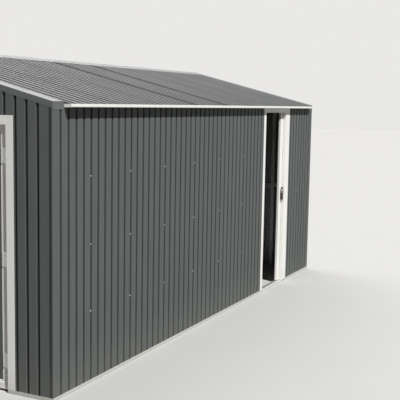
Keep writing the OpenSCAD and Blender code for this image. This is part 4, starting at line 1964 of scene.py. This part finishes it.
    def lock(self) -> Part:
        """Builds the lock: a dark collar, a bright barrel, a dark front ring, the cylinder and its keyway.

        Returns:
            The piece.
        """
        at = self.at_lock()
        piece = Piece("lock_turned", Slot.LOCK, (NICKEL, BLACK_RUBBER, BROWN_PLASTIC), Body.DOOR)
        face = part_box("leading_stile")[0].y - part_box("lock_cylinder")[0].y
        piece.turned([(0.0098, 0.0), (0.01, 0.001), (0.012, 0.0036), (0.012, 0.0056), (0.0112, 0.0066),
                      (0.0088, 0.0068)], 28, 2, at)
        piece.turned([(0.0088, 0.006), (0.0092, 0.0068), (0.0092, face - 0.008), (0.0088, face - 0.0074)],
                     28, 0, at)
        piece.turned([(0.0088, face - 0.0082), (0.0116, face - 0.0076), (0.0122, face - 0.006),
                      (0.0122, face - 0.0018), (0.011, face - 0.0002), (0.0078, face),
                      (0.0074, face - 0.0008), (0.007, face - 0.001)], 28, 2, at)
        piece.turned([(0.0068, face - 0.003), (0.0068, face - 0.0006), (0.0062, face - 0.0001)], 24, 0, at)
        piece.block((-0.0007, -0.0042, face - 0.001), (0.0007, 0.0042, face), 1, at)
        piece.block((-0.0016, 0.0018, face - 0.001), (0.0016, 0.0038, face), 1, at)
        return piece.finish("lock_cylinder")

    def catch(self) -> Part:
        """Builds the catch over the lock: a cream rose with two screws, a bright stem and a dark knob.

        Returns:
            The piece.
        """
        low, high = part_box("door_catch")
        at = self.at_lock()
        height = (low.z + high.z) / 2 - at.translation.z
        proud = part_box("leading_stile")[0].y - low.y
        piece = Piece("door_catch_turned", Slot.HANDLE, (BROWN_PLASTIC, CREAM, NICKEL), Body.DOOR)
        half, reach = self.rose_half
        rose = upright_plate(half, height - reach, height + reach, height, 0.004, 5)
        piece.prism(rose, 0.0, 0.002, 1, at)
        knob = at @ Matrix.Translation((0.0, height, 0.0))
        piece.turned([(0.0062, 0.0016), (0.0058, 0.0034), (0.004, 0.005), (0.0038, 0.0075)], 24, 2, knob)
        piece.turned([(0.0036, 0.0064), (0.007, 0.0074), (0.0086, 0.01), (0.0108, 0.014),
                      (0.0116, proud - 0.006), (0.011, proud - 0.002), (0.0084, proud - 0.0003),
                      (0.004, proud)], 28, 0, knob)
        for y in (height - self.rose_screw, height + self.rose_screw):
            piece.turned([(0.0018, 0.0018), (0.0018, 0.0026), (0.0012, 0.0029)], 12, 2,
                         at @ Matrix.Translation((0.0, y, 0.0)))
        return piece.finish("door_catch")


@dataclass
class VehicleDoor:
    """The closed double door in the left gable: jambs, header, framed leaves, hinges, handle and seals."""

    shell: Shell
    profile: RibProfile = WALL_RIBS
    trim_edge: float = 0.001
    meeting_gap: float = 0.0015
    mitre_gap: float = 0.0003
    member_step: float = 0.002
    member_bend: float = 0.003
    hinge_length: float = 0.1
    hinge_radius: float = 0.0065
    hinge_inset: float = 0.2
    pin_inset: float = 0.007
    flap_inset: float = 0.03
    flap_steel: float = 0.0022
    flap_screws: Triple = (-0.034, 0.0, 0.034)
    plate_half: float = 0.015
    plate_steel: float = 0.003
    lever_length: float = 0.088
    lever_droop: float = 0.004
    keyway_drop: float = 0.038
    cover: Point = (-0.016, 0.01)
    cover_proud: float = 0.0026
    seal: Point = (0.008, 0.014)

    def build(self) -> list[Part]:
        """Builds the vehicle door.

        Returns:
            The pieces and the nodes.
        """
        made = dress(("vehicle_jambs", "vehicle_header"), CREAM, self.trim_edge)
        made += [self.frames(), self.panels(), self.hinges(), self.handle(), self.seals()]
        return made

    def leaf_box(self) -> tuple[Vector, Vector]:
        """Finds the right-hand leaf in the wall's own frame.

        Returns:
            Its lowest and highest corner.
        """
        low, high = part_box("vehicle_leaf_frames")
        reach = self.shell.half_length
        return (Vector((self.meeting_gap, reach + low.x, low.z)), Vector((high.y, reach + high.x, high.z)))

    def both(self) -> list[Matrix]:
        """Own frames of the two leaves, which mirror each other."""
        wall = self.shell.wall(Side.LEFT)
        return [wall, wall @ Matrix.Scale(-1.0, 4, (1.0, 0.0, 0.0))]

    def frames(self) -> Part:
        """Builds the leaves' frames, each of four mitred members with a rounded, stepped section.

        Returns:
            The piece.
        """
        low, high = self.leaf_box()
        width, depth = self.frame_width(), high.y - low.y
        step = self.member_step
        section = rounded([(width / 2, 0.0), (0.0, 0.0), (0.0, depth), (width, depth), (width, step),
                           (width - 0.012, step), (width - 0.014, 0.0), (width / 2, 0.0)],
                          self.member_bend, 3)[:-1]
        piece = Piece("vehicle_leaf_frames_mitred", Slot.TRIM, (CREAM,))
        sides, levels = ((low.x, 1), (high.x, -1)), ((low.z, 1), (high.z, -1))
        gap = self.mitre_gap
        for turn in self.both():
            for z, up in levels:
                piece.loft([[Vector((x + way * w + way * gap, low.y + d, z + up * w)) for w, d in section]
                            for x, way in sides], 0, turn)
            for x, way in sides:
                piece.loft([[Vector((x + way * w, low.y + d, z + up * w + up * gap)) for w, d in section]
                            for z, up in levels], 0, turn)
        return piece.finish("vehicle_leaf_frames")

    def frame_width(self) -> float:
        """Width of the frame round a leaf."""
        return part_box("vehicle_leaf_panels")[0].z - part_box("vehicle_leaf_frames")[0].z

    def panels(self) -> Part:
        """Builds the ribbed panels of both leaves.

        Returns:
            The piece.
        """
        low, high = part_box("vehicle_leaf_panels")
        piece = Piece("vehicle_leaf_panels_ribbed", Slot.WALL, (WALL_COAT, BACK_COAT))
        sheets = RibbedSheets(self.shell)
        path = self.profile.plain_panel(self.frame_width(), high.y)
        for turn in self.both():
            inward = turn @ Matrix.Translation((0.0, self.shell.half_length + low.x, 0.0))
            sheets.laid(piece, path, lambda _: low.z, lambda _: high.z, inward)
        return piece.finish("vehicle_leaf_panels")

    def hinges(self) -> Part:
        """Builds three hinges a leaf, with knuckles and screwed flaps.

        Returns:
            The piece.
        """
        low, high = self.leaf_box()
        piece = Piece("vehicle_hinges", Slot.STEEL, (SCREW_ZINC,))
        full, slim = self.hinge_radius, 0.8 * self.hinge_radius
        half, third = self.hinge_length / 2, self.hinge_length / 3
        for turn in self.both():
            for z in (low.z + self.hinge_inset, (low.z + high.z) / 2, high.z - self.hinge_inset):
                pin = turn @ Matrix.Translation((high.x - self.pin_inset, low.y - full, z))
                for start in (-half, -half + third, -half + 2 * third):
                    end = start + third
                    piece.turned([(slim, start + 0.0005), (full, start + 0.0015), (full, end - 0.0015),
                                  (slim, end - 0.0005)], 16, 0, pin)
                flap = turn @ Matrix.Translation((high.x - self.flap_inset, low.y, z))
                piece.block((-0.024, -self.flap_steel, -half), (0.02, 0.0, half), 0, flap)
                for up in self.flap_screws:
                    spot = flap @ Vector((-0.01, -self.flap_steel, up))
                    piece.turned([(0.0034, 0.0), (0.0034, 0.0008), (0.002, 0.0014)], 12, 0,
                                 facing(spot, turn.to_3x3() @ OUTWARD))
        return piece.finish()

    def handle(self) -> Part:
        """Builds the lever handle on its long plate, with a lock under it.

        Returns:
            The piece.
        """
        low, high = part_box("vehicle_handle")
        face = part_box("vehicle_leaf_frames")[0].x + self.shell.half_length
        near = -low.y if abs(low.y) < abs(high.y) else -high.y
        centre = Matrix.Translation((near + self.plate_half, face, (low.z + high.z) / 2))
        at = self.shell.wall(Side.LEFT) @ centre @ Matrix.Rotation(math.radians(90.0), 4, "X")
        piece = Piece("vehicle_handle_lever", Slot.HANDLE, (BROWN_PLASTIC, NICKEL))
        half = (high.z - low.z) / 2
        thick = self.plate_steel
        piece.prism(upright_plate(self.plate_half, -half, half, 0.0, 0.01, 6), 0.0, thick, 0, at)
        piece.turned([(0.0085, thick), (0.008, 0.006), (0.008, 0.012)], 20, 0, at)
        rings = []
        for share in [k / 12 for k in range(13)]:
            end = min(1.0, 0.5 + 5 * share, 0.5 + 5 * (1 - share))
            along, droop = -0.008 + self.lever_length * share, self.lever_droop * share * share
            high_half, deep_half = (0.0078 - 0.002 * share) * end, 0.0036 * end
            rings.append([Vector((along, high_half * math.cos(a) - droop, 0.0122 + deep_half * math.sin(a)))
                          for a in angles(16)])
        piece.loft(rings, 0, at)
        piece.turned([(0.0072, thick), (0.0072, 0.0052), (0.0064, 0.0058)], 20, 1,
                     at @ Matrix.Translation((0.0, -self.keyway_drop, 0.0)))
        return piece.finish("vehicle_handle")

    def seals(self) -> Part:
        """Builds the strip over the meeting edges and the rubber strips under the leaves.

        Returns:
            The piece.
        """
        low, high = self.leaf_box()
        piece = Piece("vehicle_door_seals", Slot.TRIM, (CREAM, BLACK_RUBBER))
        wall = self.shell.wall(Side.LEFT)
        start, end = self.cover
        near, face = low.y - 2 * HAIR, low.y - self.cover_proud
        piece.folded([(start, near), (start, face), (end, face), (end, near)], 0.0008, 0.001, low.z + 0.002,
                     high.z - 0.002, 0, wall)
        front, back = (low.y + depth for depth in self.seal)
        for turn in self.both():
            piece.block((low.x + 0.004, front, 0.002), (high.x - 0.004, back, low.z + 0.004), 1, turn)
        return piece.finish(bevel=0.0004)


@dataclass
class Stage:
    """Floor, light and camera round the building."""

    shell: Shell
    eye: Triple = (-6.7606, -4.5875, 1.94)
    yaw: float = 1.11964
    pitch: float = 0.11715
    roll: float = 0.01773
    lens: float = 74.25
    sensor: float = 36.0
    far: float = 200.0
    sun_way: Point = (-27.0, 51.0)
    sun_strength: float = 4.44
    sun_size: float = 0.9
    back_way: Point = (145.0, 42.0)
    back_strength: float = 2.0
    back_size: float = 70.0
    sky_colour: Colour = (1.0, 0.99, 0.97)
    sky: float = 0.15
    backdrop: float = 0.82
    floor_seen: Colour = (0.5, 0.495, 0.48)
    floor_bounce: Colour = (0.12, 0.117, 0.113)
    indoor_bounce: Colour = (0.84, 0.83, 0.81)
    floor_reach: float = 60.0

    def build(self) -> list[Part]:
        """Puts the camera, the lamps, the sky and the floor in place.

        Returns:
            The floor.
        """
        self.camera()
        self.lamp("sun", self.sun_strength, self.sun_size, self.sun_way)
        self.lamp("back_light", self.back_strength, self.back_size, self.back_way)
        self.world()
        return [self.floor()]

    def camera(self) -> None:
        """Makes the camera."""
        level_share = math.cos(self.pitch)
        forward = Vector((math.sin(self.yaw) * level_share, math.cos(self.yaw) * level_share,
                          -math.sin(self.pitch)))
        level = Vector((math.cos(self.yaw), -math.sin(self.yaw), 0.0))
        above = level.cross(forward)
        right = level * math.cos(self.roll) + above * math.sin(self.roll)
        top = above * math.cos(self.roll) - level * math.sin(self.roll)
        data = bpy.data.cameras.new("camera")
        data.lens = self.lens
        data.sensor_width = self.sensor
        data.clip_end = self.far
        camera = bpy.data.objects.new("camera", data)
        turn = Matrix((right, top, -forward)).transposed().to_4x4()
        camera.matrix_world = Matrix.Translation(self.eye) @ turn
        bpy.context.scene.collection.objects.link(camera)
        bpy.context.scene.camera = camera

    def lamp(self, name: str, strength: float, size: float, way: Point) -> None:
        """Makes a far lamp.

        Args:
            name: Its name.
            strength: Its strength.
            size: Its angle in degrees: a wide one gives soft shadows.
            way: Degrees to the right of straight ahead of the front wall, and degrees above the horizon.
        """
        data = bpy.data.lights.new(name, "SUN")
        data.energy = strength
        data.angle = math.radians(size)
        lamp = bpy.data.objects.new(name, data)
        side, height = math.radians(way[0]), math.radians(way[1])
        level_share = math.cos(height)
        toward = Vector((math.sin(side) * level_share, -math.cos(side) * level_share, math.sin(height)))
        lamp.rotation_euler = toward.to_track_quat("Z", "Y").to_euler()
        bpy.context.scene.collection.objects.link(lamp)

    def world(self) -> None:
        """Makes the sky: a plain soft fill, and a pale backdrop for the camera and for reflections."""
        world = bpy.data.worlds.new("sky")
        world.use_nodes = True
        graph = Nodes(world.node_tree)
        shade = graph.add("ShaderNodeBackground")
        graph.feed(self.sky_colour, shade.inputs["Color"])
        graph.feed(graph.span(graph.seen(), 0.0, 1.0, self.sky, self.backdrop), shade.inputs["Strength"])
        graph.feed(shade.outputs["Background"], graph.add("ShaderNodeOutputWorld").inputs["Surface"])
        bpy.context.scene.world = world
        bpy.context.scene.view_settings.view_transform = "Standard"

    def floor(self) -> Part:
        """Makes the plain floor, pale to the camera and to reflections.

        It throws less light up outside the building than it shows, and more inside.

        Returns:
            The floor.
        """
        graph = Graph("plain_floor", specular=0.0)
        along, across, _ = graph.parts(graph.place)
        within = [graph.maths("LESS_THAN", graph.maths("ABSOLUTE", distance), reach) for distance, reach in
                  ((along, self.shell.half_length), (across, self.shell.half_width))]
        indoors = graph.maths("MULTIPLY", *within)
        mottle = graph.grain(2.0, 4.0)
        bounce = graph.blend(indoors, self.floor_bounce, self.indoor_bounce)
        colour = graph.blend(graph.seen(), bounce, self.floor_seen)
        graph.done(graph.shaded(colour, (mottle, 0.015)), 0.9, (mottle, 0.0005))
        mesh = bpy.data.meshes.new("floor")
        far = self.floor_reach
        mesh.from_pydata([(-far, -far, 0.0), (far, -far, 0.0), (far, far, 0.0), (-far, far, 0.0)], [],
                         [(0, 1, 2, 3)])
        mesh.materials.append(graph.material)
        floor = bpy.data.objects.new("floor", mesh)
        bpy.context.scene.collection.objects.link(floor)
        return floor


def main() -> None:
    """Builds the stage and every sub-assembly in order, and reports them."""
    logging.basicConfig(level=logging.INFO, format="%(name)s %(message)s")
    shell = Shell.measured()
    assemblies = (Stage(shell), RibbedSheets(shell), RoofEdges(shell), SteelFrame(shell), SideDoorway(shell),
                  SideDoorLeaf(shell), VehicleDoor(shell), Fasteners(shell))
    for assembly in assemblies:
        made = assembly.build()
        LOG.info("%s: %d pieces", type(assembly).__name__, len(made))


if __name__ == "__main__":
    main()
